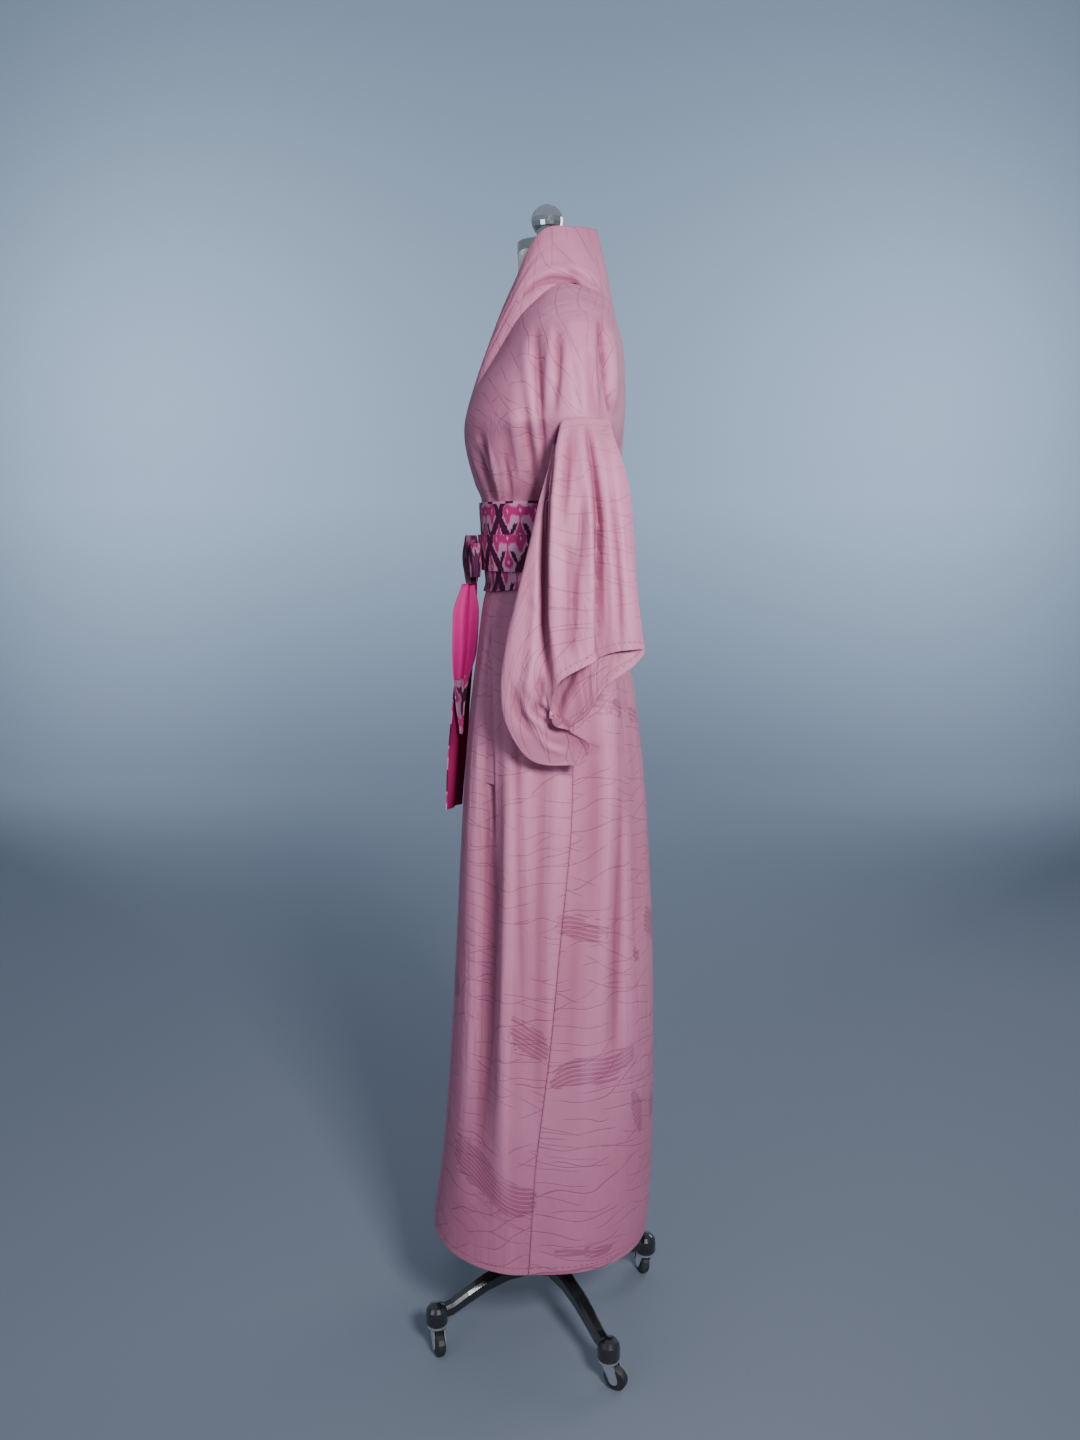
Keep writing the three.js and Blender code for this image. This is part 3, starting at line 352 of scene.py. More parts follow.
def grid_normals(grid, loop):
    if loop:
        across = np.roll(grid, -1, axis=1) - np.roll(grid, 1, axis=1)
    else:
        across = np.gradient(grid, axis=1)
    along = np.gradient(grid, axis=0)
    n = np.cross(across, along)
    return n / np.maximum(np.linalg.norm(n, axis=-1, keepdims=True), 1e-9)


print("creases: at least", NARROWEST, "mm wide")


# %% The sheet maker
# Where the jacquard's brush strokes lie: y, z, half length, half height, slope. Towards the middle of the
# front and back, where y hardly changes, y runs on by the distance from the side.
SIDE_X = 130
STROKE_WAVE, STROKE_WAVE_LENGTH = 9, 26
STROKE_BUNDLES = [
    (52, 768, 42, 21, 0.06),
    (-28, 592, 32, 27, -0.30),
    (75, 536, 74, 23, 0.26),
    (-95, 350, 82, 33, -0.32),
    (157, 706, 16, 12, -0.10),
    (158, 445, 24, 31, -0.50),
    (104, 1105, 40, 12, 0.05),
    (60, 236, 52, 8, 0.10),
    (-180, 1655, 34, 9, 0.8),
    (-232, 640, 46, 22, 0.10),
    (-205, 880, 40, 12, -0.08),
    (238, 740, 46, 24, -0.10),
    (262, 420, 42, 24, 0.12),
    (204, 1080, 34, 12, 0.06),
    (230, 1560, 40, 12, 0.10),
]


def stroke_marks(grid, shift):
    """How strongly the strokes are woven at each point, and how far the point lies across its bundle."""
    strength, across = np.zeros(grid.shape[:2]), np.zeros(grid.shape[:2])
    inward = np.maximum(0, SIDE_X - np.abs(grid[..., 0]))
    around = grid[..., 1] + np.where(grid[..., 1] < 0, -inward, inward)
    for y, z, long, high, slope in STROKE_BUNDLES:
        dy, dz = around - y - shift[0], grid[..., 2] - z - shift[1]
        off = dz - slope * dy + STROKE_WAVE * np.sin(dy / STROKE_WAVE_LENGTH)
        mark = np.clip(1.3 - (dy / long) ** 4 - (off / high) ** 2, 0, 1)
        stronger = mark > strength
        across = np.where(stronger, off * MM, across)
        strength = np.where(stronger, mark, strength)
    return strength, across


CLEAR_OF_SEAMS = 0.2


def edge_marks(grid, loop):
    """How far each point lies, in metres of cloth, from the nearest end row and from the nearest side edge."""
    along = np.linalg.norm(np.diff(grid, axis=0), axis=-1)
    along = np.concatenate([np.zeros((1, grid.shape[1])), np.cumsum(along, axis=0)])
    hem = np.minimum(along, along[-1] - along) * MM
    if loop:
        return hem, np.full(hem.shape, CLEAR_OF_SEAMS)
    across = np.linalg.norm(np.diff(grid, axis=1), axis=-1)
    across = np.concatenate([np.zeros((grid.shape[0], 1)), np.cumsum(across, axis=1)], axis=1)
    return hem, np.minimum(across, across[:, -1:] - across) * MM


def blurred(grid, reach, axis, loop):
    """Each point averaged with its neighbours along one axis of the grid."""
    mode = "wrap" if loop and axis == 1 else "edge"
    pad = [(0, 0)] * 3
    pad[axis] = (reach, reach)
    wide = np.pad(grid, pad, mode=mode)
    count = grid.shape[axis]
    span = 2 * reach + 1
    return sum(np.take(wide, np.arange(k, k + count), axis=axis) for k in range(span)) / span


def hollow_marks(grid, loop):
    """How far each point lies below its surroundings, in millimetres: above 0 in a trough, below 0 on a ridge."""
    total = np.zeros(grid.shape[:2])
    normals = grid_normals(grid, loop)
    for width in (12.0, 28.0):
        out = grid
        for axis in (0, 1):
            step = np.linalg.norm(np.diff(grid, axis=axis), axis=-1).mean()
            out = blurred(out, int(np.clip(round(width / step), 1, 12)), axis, loop)
        total += np.sum((out - grid) * normals, axis=-1)
    return total


def evenness(step_u, step_v):
    """Near 1 where the grid's steps are as long as usual, down to 0 where they crowd and would pinch a pattern."""
    wide_u = np.concatenate([step_u, step_u[:, -1:]], axis=1) / step_u.mean(axis=0, keepdims=True).mean()
    usual_v = np.append(step_v.mean(axis=1), step_v[-1].mean())
    wide_v = np.concatenate([step_v, step_v[-1:]], axis=0) / usual_v[:, None]
    return np.clip(1.25 * np.minimum(wide_u, wide_v) - 0.25, 0, 1)


def cloth_sheet(name, grid, thickness=CLOTH, loop=False, creases=(), shift=(0, 0)):
    """A grid of points in millimetres, rows by columns, as a wall of cloth with UVs in metres of cloth."""
    normals = grid_normals(grid, loop)
    if len(creases):
        grid = grid + normals * side_creases(grid, normals, creases)[..., None]
    if loop:
        grid = np.concatenate([grid, grid[:, :1]], axis=1)
    rows, cols = grid.shape[:2]
    clear_selection()
    bpy.ops.mesh.primitive_grid_add(x_subdivisions=cols - 1, y_subdivisions=rows - 1, size=1)
    sheet = bpy.context.object
    sheet.name = name
    mesh = sheet.data
    flat = np.empty(len(mesh.vertices) * 3)
    mesh.vertices.foreach_get("co", flat)
    flat = flat.reshape(-1, 3)
    if len(flat) != rows * cols:
        raise ValueError(f"{name}: the grid has {len(flat)} points, not {rows * cols}")
    c = np.rint((flat[:, 0] + 0.5) * (cols - 1)).astype(int)
    r = np.rint((flat[:, 1] + 0.5) * (rows - 1)).astype(int)
    mesh.vertices.foreach_set("co", (grid[r, c] * MM).ravel())
    step_u = np.linalg.norm(np.diff(grid, axis=1), axis=-1)
    step_v = np.linalg.norm(np.diff(grid, axis=0), axis=-1)
    u = np.concatenate([[0], np.cumsum(step_u.mean(axis=0))]) * MM
    v = np.concatenate([[0], np.cumsum(step_v.mean(axis=1))]) * MM
    loops = np.empty(len(mesh.loops), dtype=np.int32)
    mesh.loops.foreach_get("vertex_index", loops)
    layer = mesh.uv_layers.active
    layer.name = "Cloth"
    layer.data.foreach_set("uv", np.stack([u[c[loops]], v[r[loops]]], axis=1).ravel())
    marks = dict(zip(("Strokes", "Across"), stroke_marks(grid, shift)))
    marks.update(zip(("Hem", "Seam"), edge_marks(grid, loop)))
    marks["Hollow"] = hollow_marks(grid, loop)
    marks["Even"] = evenness(step_u, step_v)
    for label, values in marks.items():
        mesh.attributes.new(label, "FLOAT", "POINT").data.foreach_set("value", values[r, c].astype(np.float32))
    mesh.update()
    if loop:
        bpy.ops.object.mode_set(mode="EDIT")
        bpy.ops.mesh.select_all(action="SELECT")
        bpy.ops.mesh.remove_doubles(threshold=0.00005)
        bpy.ops.object.mode_set(mode="OBJECT")
    bpy.ops.object.modifier_add(type="SOLIDIFY")
    wall = sheet.modifiers[-1]
    wall.thickness = thickness * MM
    wall.offset = -1
    bpy.ops.object.modifier_apply(modifier=wall.name)
    bpy.ops.object.shade_smooth_by_angle(angle=60 * DEGREE)
    area = float((step_u.mean() * (cols - 1)) * (step_v.mean() * (rows - 1))) * MM * MM
    print(f"{name}: {len(mesh.polygons)} faces, about {area:.3f} m2 of cloth, {u.max():.2f} by {v.max():.2f} m")
    return sheet


def finer(values, parts):
    values = np.array(values, float)
    cuts = [mix(values[i], values[i + 1], k / parts) for i in range(len(values) - 1) for k in range(parts)]
    return np.array([*cuts, values[-1]])


print("sheet maker ready, with", len(STROKE_BUNDLES), "bundles of strokes")

# %% [markdown]
# ## Body panels
# A kimono body is two straight lengths of cloth, each running from the front hem over the shoulder to the
# back hem, joined down the centre back. Each panel here is one grid: its columns run from the inner edge to
# the side seam, and its rows climb the front, fan out over the shoulder and go down the back.

# %% Rows and columns of a body panel
SKIRT_HEIGHTS = [200, 270, 370, 500, 640, 770, 880, 985, 1060, 1140, 1200, 1244]
WAIST_HEIGHTS = [1275, 1311, 1360, 1388, 1412, 1424, 1440]
LOWER_HEIGHTS = SKIRT_HEIGHTS + WAIST_HEIGHTS
CHEST_HEIGHTS = [1470, 1500, 1530, 1560, 1590, 1615, 1650, 1682, 1709, 1733]
UNDERARM_Z, NECK_Z, BACK_NECK_Z = 1440, 1733, 1703
COLLAR_END_Z, OKUMI_TOP_Z = 985, 1615
ARMHOLE = dict(
    z=[1440, 1462, 1492, 1517, 1523, 1523, 1523, 1515, 1488, 1462, 1440],
    turn=[81, 95, 99, 100, 92, 77, 62, 52, 55, 66, 79],
)
RIDGE_AT = 0.52
OKUMI_END_Z = OKUMI_TOP_Z - 12
HIDDEN_SIDE_SHIFT = (-22, 46)


def armhole(t):
    place = np.clip(t, 0, 1) * (len(ARMHOLE["z"]) - 1)
    steps = np.arange(len(ARMHOLE["z"]))
    return np.interp(place, steps, ARMHOLE["z"]), np.interp(place, steps, ARMHOLE["turn"]) * DEGREE


def half_gap(z, turn):
    span = np.linalg.norm(body_points(z, turn + 0.001) - body_points(z, turn - 0.001), axis=-1)
    return SEAM_GAP / 2 / span * 0.002


def okumi_seam(z):
    return turn_at_x(z, track(FRONT_LINES, "okumi", z))


def collar_seam(z):
    return turn_at_x(z, track(COLLAR_SEAM, "x", z))


def front_inner(z):
    seam = np.where(z < OKUMI_END_Z, okumi_seam(z), collar_seam(z))
    return seam - half_gap(z, seam)


# Along the shoulder's outline, from the underarm up to the neck.
profile_z = np.linspace(UNDERARM_Z, NECK_Z, 121)
profile_x = track(BODY_SECTIONS, "half", profile_z)
profile_along = np.concatenate([[0], np.cumsum(np.hypot(np.diff(profile_z), np.diff(profile_x)))])
LOWER_ROWS, CHEST_PARTS, RIDGE_ROWS, BACK_ROWS = 140, 8, 24, 16
ARM_START, ARM_BACK_NECK, ARM_END = 0.02, 0.8, 0.98


def body_panel(lap, columns=84):
    t = np.linspace(0, 1, columns)

    def lifted(z, turn):
        return body_points(z, turn, lap_lift(z, turn) if lap else 0.0)

    def level(z, inner, outer):
        turn = mix(inner, outer, t)
        return lifted(np.full(columns, float(z)), turn)

    def over_shoulder(z, inner, arm):
        end_z, end_turn = armhole(arm)
        a = np.interp([z, end_z], profile_z, profile_along)
        zz = np.interp(mix(a[0], a[1], t), profile_along, profile_z)
        return lifted(zz, mix(inner, end_turn, t))

    def side(z):
        return float(track(FRONT_LINES, "side", z)) * DEGREE

    def back(z):
        return float(half_gap(z, 0.01))

    lower = np.linspace(LOWER_HEIGHTS[0], UNDERARM_Z, LOWER_ROWS)
    rows = [level(z, front_inner(z), side(z) + half_gap(z, side(z))) for z in lower]
    for z in finer([UNDERARM_Z, *CHEST_HEIGHTS], CHEST_PARTS)[1:]:
        s = (z - UNDERARM_Z) / (NECK_Z - UNDERARM_Z)
        rows.append(over_shoulder(z, float(front_inner(z)), mix(ARM_START, RIDGE_AT, s**1.1)))
    for s in np.linspace(0, 1, RIDGE_ROWS + 1)[1:]:
        z = mix(NECK_Z, BACK_NECK_Z, s)
        rows.append(over_shoulder(z, mix(math.pi / 2, back(z), s), mix(RIDGE_AT, ARM_BACK_NECK, s)))
    for s in np.linspace(0, 1, BACK_ROWS + 1)[1:]:
        z = mix(BACK_NECK_Z, UNDERARM_Z, s)
        rows.append(over_shoulder(z, back(z), mix(ARM_BACK_NECK, ARM_END, s)))
    rows += [level(z, back(z), side(z) - half_gap(z, side(z))) for z in lower[::-1][1:]]
    return np.array(rows)


def mirror(grid):
    """The wearer's right: turned over in X, with its columns reversed so that the faces still point out."""
    return (grid * np.array([-1, 1, 1]))[:, ::-1]


print("body panel: from", LOWER_HEIGHTS[0], "mm over the shoulder and back, in", 2 * LOWER_ROWS - 1, "rows and the chest's")


# %% Fine creases of the body
# Each crease: its line as (y, z) points, its width and its depth, below 0 for a furrow.
SHOULDER_CREASES = [
    ([(-17, 1660), (-16, 1603), (-11, 1525), (-4, 1467)], 5, -6),
    ([(-30, 1640), (-31, 1570), (-24, 1490)], 9, 4),
    ([(16, 1668), (13, 1580), (9, 1530)], 4, -5),
    ([(5, 1655), (2, 1590), (0, 1535)], 7, 4),
    ([(75, 1672), (79, 1632), (85, 1577), (92, 1530)], 5, -9),
    ([(88, 1660), (93, 1600), (100, 1540)], 8, 5),
    ([(33, 1650), (38, 1585), (44, 1530)], 4.5, -2.0),
    ([(45, 1640), (49, 1590), (54, 1530)], 4.0, 1.6),
    ([(56, 1650), (61, 1585), (66, 1530)], 4.5, -2.4),
]
CHEST_CREASES = [
    ([(-99, 1510), (-90, 1460), (-79, 1412)], 6, -5),
    ([(-86, 1490), (-78, 1450), (-70, 1412)], 5, 3),
    ([(-37, 1600), (-27, 1484), (-14, 1410)], 8, -6),
    ([(-52, 1540), (-42, 1470), (-34, 1410)], 8, 3),
    ([(-64, 1480), (-58, 1445), (-54, 1410)], 5, -3),
]
SKIRT_CREASES = [
    ([(-90, 1280), (-97, 1242), (-94, 1174), (-91, 1034), (-90, 900)], 4, -6),
    ([(-80, 1278), (-82, 1175), (-84, 1005), (-86, 829)], 9, 4),
    ([(-68, 1278), (-62, 1100), (-63, 835), (-60, 560), (-58, 380)], 14, -4),
    ([(-30, 1275), (-26, 1050), (-30, 700), (-36, 400)], 18, 3),
    ([(96, 1200), (100, 1014), (87, 858), (75, 700), (66, 500)], 18, 4),
    ([(60, 1180), (52, 900), (40, 640), (34, 420)], 18, -3),
    ([(130, 1150), (140, 900), (142, 600)], 14, -3),
    ([(-81, 1275), (-86, 1118), (-89, 964), (-92, 806), (-96, 644), (-108, 300)], 19, -9),
    ([(-66, 1270), (-65, 1119), (-63, 966), (-63, 809), (-64, 648), (-68, 320)], 12, 6),
    ([(-30, 1274), (-41, 1160), (-46, 1000), (-40, 760), (-34, 560)], 8, -3),
    ([(20, 1200), (18, 1000), (8, 800), (2, 620), (-4, 420)], 12, 3.5),
    ([(112, 1180), (118, 980), (112, 760), (108, 520)], 12, -5),
    ([(88, 1160), (92, 980), (90, 760), (84, 540)], 11, 4),
    ([(60, 1120), (100, 1112), (138, 1096)], 6, -1.5),
    ([(36, 1040), (84, 1044), (136, 1030)], 5, -1.2),
]
RIGHT_SHIFT = [((4, -14), 1.1, 0.9), ((-5, 11), 0.9, 1.1), ((3, 8), 1.2, 0.8)]


def right_side(creases):
    """Similar creases for the hidden side: shifted, wider or shallower, never a plain copy."""
    changed = []
    for k, (line, width, depth) in enumerate(creases):
        (dy, dz), wide, deep = RIGHT_SHIFT[k % len(RIGHT_SHIFT)]
        changed.append(([(y + dy, z + dz) for y, z in line], width * wide, depth * deep))
    return changed


BODY_CREASES = SHOULDER_CREASES + CHEST_CREASES + SKIRT_CREASES
left_body = cloth_sheet("left_body_silk", body_panel(True), creases=BODY_CREASES)
right_body = cloth_sheet(
    "right_body_silk", mirror(body_panel(False)), creases=right_side(BODY_CREASES), shift=HIDDEN_SIDE_SHIFT
)

# %% [markdown]
# ## Okumi
# The okumi is the tapered strip that lets the fronts overlap. It is sewn to the body panel's front edge,
# hangs free below the collar's end, and runs out in a point under the collar.


# %% Okumi
def okumi_panel(lap, columns=26, levels=112):
    heights = np.linspace(LOWER_HEIGHTS[0], OKUMI_END_Z, levels)
    rows = []
    for z in heights:
        seam, collar_turn = float(okumi_seam(z)), float(collar_seam(z))
        inner = seam + half_gap(z, seam)
        edge = collar_turn - half_gap(z, collar_turn)
        if z < COLLAR_END_Z:
            edge = turn_at_x(z, track(FRONT_LINES, "edge", z))
        turn = np.linspace(float(edge), float(inner), columns)
        zz = np.full(columns, z)
        rows.append(body_points(zz, turn, lap_lift(zz, turn) if lap else 0.0))
    return np.array(rows)


left_okumi = cloth_sheet("left_okumi_silk", okumi_panel(True), creases=SKIRT_CREASES[:1])
right_okumi = cloth_sheet("right_okumi_silk", mirror(okumi_panel(False)), shift=HIDDEN_SIDE_SHIFT)

# %% [markdown]
# ## Collar
# The collar is one long band. Low on the front it lies flat, and from the chest up it opens and stands round
# the neck, leaning a little away from it. Each row is a line from the free edge to the seam, bowed outwards.

# %% Collar
COLLAR_WIDTH = 112
COLLAR_LEFT_STANDS, SEAM_LAP = 4, 1.5
# The band's two sides lie one over the other below the first pair of heights and part above it, and the band
# turns from facing front to facing sideways over the second pair.
PARTS_FROM, PARTS_OVER = 1640, 120
TURNS_FROM, TURNS_OVER = 1590, 140
COLLAR_EDGE = dict(
    seam=[1470, 1500, 1530, 1560, 1590, 1615, 1650, 1682, 1709, 1733],
    x=[-56, -41, -23, -4, 14, 28, 41, 52, 61, 66],
    y=[-124, -124, -109, -93, -81, -68, -46, -29, -13, 4],
    z=[1496, 1541, 1581, 1622, 1660, 1700, 1748, 1783, 1804, 1813],
    roll=[2, 3, 3, 4, 5, 6, 7, 7, 8, 8],
)
COLLAR_BACK_EDGE = dict(
    x=[66, 58, 43, 23, 0],
    y=[22, 42, 60, 74, 78],
    z=[1814, 1815, 1817, 1819, 1820],
    roll=[7, 6, 4, 3, 2],
)


def turn_after(z, start, distance):
    turns = start + np.arange(0, 2.2, 0.01)
    p = body_points(np.full(len(turns), float(z)), turns)
    walked = np.concatenate([[0], np.cumsum(np.linalg.norm(np.diff(p, axis=0), axis=-1))])
    return float(np.interp(distance, walked, turns))


def bowed_row(edge, seam, roll, away, columns):
    t = np.linspace(0, 1, columns)[:, None]
    return mix(edge, seam, t) + away * roll * np.sin(np.pi * t)


def unit(v):
    v = np.array(v, float)
    return v / np.linalg.norm(v)


def collar_half(lap, columns=26):
    rows = []
    for z in finer([z for z in LOWER_HEIGHTS if z >= COLLAR_END_Z], 4):
        seam = float(collar_seam(z))
        seam += 1.8 * float(half_gap(z, seam))
        turn = np.linspace(turn_after(z, seam, COLLAR_WIDTH), seam, columns)
        zz = np.full(columns, z)
        rows.append(body_points(zz, turn, lap_lift(zz, turn) if lap else 0.0))
    front = []
    for k, z in enumerate(COLLAR_EDGE["seam"]):
        turn = float(collar_seam(z))
        on_body = body_points(z, turn, lap_lift(z, turn) if lap else 0.0)
        ex, ey, ez = (COLLAR_EDGE[c][k] for c in "xyz")
        shift = (-1 if lap else 1) * COLLAR_LEFT_STANDS * (1 - ease((ez - PARTS_FROM) / PARTS_OVER))
        edge = np.array([ex, ey + shift, ez])
        seam = on_body - unit(edge - on_body) * SEAM_LAP
        sideways = float(np.clip((z - TURNS_FROM) / TURNS_OVER, 0, 1))
        away = unit(mix(unit([0.6, -1, 0.1]), np.array([1, 0, -0.1]), sideways))
        roll = COLLAR_EDGE["roll"][k] * (1 - 0.4 * sideways)
        front.append(bowed_row(edge, seam, roll, away, columns))
    count = len(COLLAR_BACK_EDGE["x"])
    for k in range(count):
        s = (k + 1) / count
        on_body = body_points(mix(NECK_Z, BACK_NECK_Z, s), mix(math.pi / 2, 0.0, s))
        edge = np.array([COLLAR_BACK_EDGE[c][k] for c in "xyz"], float)
        seam = on_body - unit(edge - on_body) * SEAM_LAP
        away = unit([on_body[0], on_body[1] - 10, 0])
        front.append(bowed_row(edge, seam, 0.5 * COLLAR_BACK_EDGE["roll"][k], away, columns))
    return rows, front


def spline_rows(rows, parts):
    """Smooth rows between given rows, by a Catmull-Rom curve through each column."""
    rows = np.array(rows)
    padded = np.concatenate([[2 * rows[0] - rows[1]], rows, [2 * rows[-1] - rows[-2]]])
    out = []
    for i in range(1, len(rows)):
        p0, p1, p2, p3 = padded[i - 1], padded[i], padded[i + 1], padded[i + 2]
        for k in range(parts):
            t = k / parts
            squared, cubed = 2 * p0 - 5 * p1 + 4 * p2 - p3, 3 * p1 - p0 - 3 * p2 + p3
            out.append(0.5 * ((2 * p1) + (p2 - p0) * t + squared * t**2 + cubed * t**3))
    out.append(rows[-1])
    return out


low_left, high_left = collar_half(True)
low_right, high_right = collar_half(False)
turned = np.array([-1, 1, 1])
upper = high_left + [row * turned for row in high_right[:-1][::-1]]
round_the_neck = spline_rows([low_left[-1], *upper, low_right[-1] * turned], 5)
collar_grid = np.array(low_left[:-1] + round_the_neck + [row * turned for row in low_right[:-1][::-1]])
COLLAR_CREASES = [
    ([(-40, 1712), (-15, 1733), (5, 1738), (35, 1734), (66, 1724)], 5, -5),
    ([(-30, 1728), (5, 1750), (40, 1750), (70, 1738)], 7, 4),
    ([(0, 1760), (25, 1752), (50, 1740), (78, 1728)], 4, -3),
]
collar = cloth_sheet("collar_silk", collar_grid, creases=COLLAR_CREASES)

# %% [markdown]
# ## Sleeves
# A kimono sleeve is a flat bag: folded along the top, sewn along the bottom and up the lower part of the
# wrist edge. Hanging empty from the shoulder, its top fold lies down the back, the wrist edge is at the
# bottom, and the bag's corner droops as a pouch. The sheet goes round the bag as a closed loop.

# %% Fold lines of the sleeve
# Each fold line runs from the armhole down to the opening, and the lines go round the bag.
SLEEVE_FOLDS = [
    ((200, 84, 1518), (230, 111, 1440), (246, 126, 1280), (246, 137, 1201)),
    ((211, 66, 1521), (246, 88, 1440), (260, 106, 1280), (260, 108, 1203)),
    ((217, 50, 1522), (250, 64, 1440), (255, 78, 1280), (252, 81, 1196)),
    ((219, 35, 1520), (248, 34, 1440), (267, 48, 1280), (268, 62, 1186)),
    ((216, 22, 1515), (240, 5, 1440), (258, 4, 1290), (262, 18, 1160)),
    ((212, 14, 1500), (227, 2, 1425), (241, 0, 1290), (249, 6, 1132)),
    ((209, 9, 1486), (222, -10, 1405), (235, -20, 1245), (244, 6, 1098)),
    ((205, 8, 1474), (213, -20, 1375), (230, -50, 1160), (240, 32, 1084)),
    ((203, 11, 1470), (205, -16, 1370), (217, -58, 1090), (228, 60, 1062)),
    ((202, 20, 1466), (203, 0, 1380), (210, -26, 1042), (219, 46, 1030)),
    ((202, 34, 1464), (204, 22, 1400), (208, 4, 1130), (228, 30, 1082)),
    ((201, 50, 1464), (206, 54, 1400), (220, 42, 1215), (247, 56, 1110)),
    ((198, 68, 1472), (211, 88, 1415), (228, 100, 1270), (250, 84, 1152)),
    ((193, 80, 1492), (218, 106, 1432), (237, 124, 1278), (245, 124, 1182)),
]


def curve_point(points, closed, t):
    """A point of a centripetal Catmull-Rom curve through the points."""
    n = len(points)
    p = (n if closed else n - 1) * t
    i = int(math.floor(p))
    w = p - i
    if not closed and w == 0 and i == n - 1:
        i, w = n - 2, 1.0
    p1, p2 = points[i % n], points[(i + 1) % n]
    p0 = points[(i - 1) % n] if closed or i > 0 else 2 * points[0] - points[1]
    p3 = points[(i + 2) % n] if closed or i + 2 < n else 2 * points[n - 1] - points[n - 2]
    d0, d1, d2 = (math.sqrt(np.linalg.norm(b - a)) for a, b in ((p0, p1), (p1, p2), (p2, p3)))
    m1 = ((p1 - p0) / d0 - (p2 - p0) / (d0 + d1) + (p2 - p1) / d1) * d1
    m2 = ((p2 - p1) / d1 - (p3 - p1) / (d1 + d2) + (p3 - p2) / d2) * d1
    return p1 + m1 * w + (-3 * p1 + 3 * p2 - 2 * m1 - m2) * w**2 + (2 * p1 - 2 * p2 + m1 + m2) * w**3


ARMHOLE_MIDDLE = (0, 40, 1493)
TOP_DRAWN_OUT, TOP_REACH = 0.075, 0.12


def sleeve_grid(rows=100, per_fold=12):
    lines = [[np.array(p, float) for p in fold] for fold in SLEEVE_FOLDS]
    grid = []
    for t in np.linspace(0, 1, rows):
        ring = [curve_point(line, False, t) for line in lines]
        count = len(ring) * per_fold
        grid.append([curve_point(ring, True, k / count) for k in range(count)])
    grid = np.array(grid)
    # The top edge is drawn out by a few millimetres, to meet the body's armhole seam without a gap.
    sewn = TOP_DRAWN_OUT * (1 - ease(np.linspace(0, 1, rows) / TOP_REACH))[:, None]
    for axis in (1, 2):
        grid[..., axis] += (grid[..., axis] - ARMHOLE_MIDDLE[axis]) * sewn
    return grid


SLEEVE_CREASES = [
    ([(14, 1530), (4, 1478), (-3, 1410), (-5, 1328), (-5, 1244), (-4, 1160)], 6, -11),
    ([(24, 1530), (16, 1478), (10, 1410), (8, 1328), (9, 1244), (12, 1170)], 7, 8),
    ([(55, 1511), (63, 1451), (69, 1383), (70, 1307), (71, 1195)], 5, -12),
    ([(44, 1500), (51, 1451), (57, 1383), (58, 1307), (59, 1200)], 8, 8),
    ([(88, 1505), (103, 1383), (113, 1272), (120, 1195)], 7, 5),
    ([(80, 1480), (90, 1383), (98, 1272), (102, 1195)], 6, -5),
    ([(26, 1500), (25, 1356), (33, 1273), (36, 1180)], 3.5, -2.2),
    ([(40, 1440), (40, 1340), (45, 1260)], 3.0, 1.6),
    ([(-31, 1276), (-16, 1254), (-4, 1236)], 3.0, -1.8),
    ([(-31, 1261), (-16, 1240), (-4, 1222)], 3.0, -1.8),
    ([(-34, 1247), (-18, 1226), (-6, 1209)], 3.0, -1.8),
    ([(-34, 1231), (-20, 1213), (-9, 1196)], 3.0, -1.6),
    ([(-51, 1150), (-40, 1107), (-18, 1078)], 7, -5),
    ([(-20, 1190), (-30, 1150), (-26, 1110), (0, 1085)], 7, 5),
    ([(-10, 1165), (-14, 1120), (10, 1100), (30, 1096)], 5, -6),
    ([(58, 1500), (50, 1400), (36, 1290), (30, 1200)], 7, -4),
    ([(80, 1500), (84, 1400), (92, 1300), (94, 1215)], 7, 4),
    ([(40, 1480), (28, 1400), (18, 1300), (14, 1200)], 6, 3),
    ([(96, 1450), (108, 1350), (116, 1230)], 5, -3),
    ([(-12, 1330), (-20, 1230), (-22, 1150), (0, 1090)], 7, 3),
    ([(-36, 1150), (-20, 1110), (10, 1085), (34, 1090)], 6, -5),
    ([(-30, 1100), (0, 1060), (30, 1050)], 5, 3),
    ([(60, 1190), (30, 1130), (24, 1100)], 6, -3),
]
left_sleeve = cloth_sheet("left_sleeve_silk", sleeve_grid(), loop=True, creases=SLEEVE_CREASES)
right_sleeve = cloth_sheet(
    "right_sleeve_silk", mirror(sleeve_grid()), loop=True, creases=right_side(SLEEVE_CREASES), shift=HIDDEN_SIDE_SHIFT
)

# %% [markdown]
# ## Sash
# The sash goes three times round the waist, so three bands of the body's own surface are moved out, each a
# little proud of the next. The knot and the loop are short tubes of the same cloth, open above and below.

# %% Bands
# Name, bottom and top, and how far the band stands out from the one below.
SASH_BANDS = [
    ("sash_upper_ikat", (1360, 1412), 0.0),
    ("sash_middle_ikat", (1308, 1363), SASH + SASH_GAP),
    ("sash_lower_ikat", (1275, 1311), 0.0),
]
SASH_RISE = 24
SASH_SLACK = 0.4
BAND_COLUMNS, BAND_ROWS = 176, 15


def under_lap(turn):
    return lap_lift(0.0, turn) * (1 - ease((turn / DEGREE - 250) / 18))


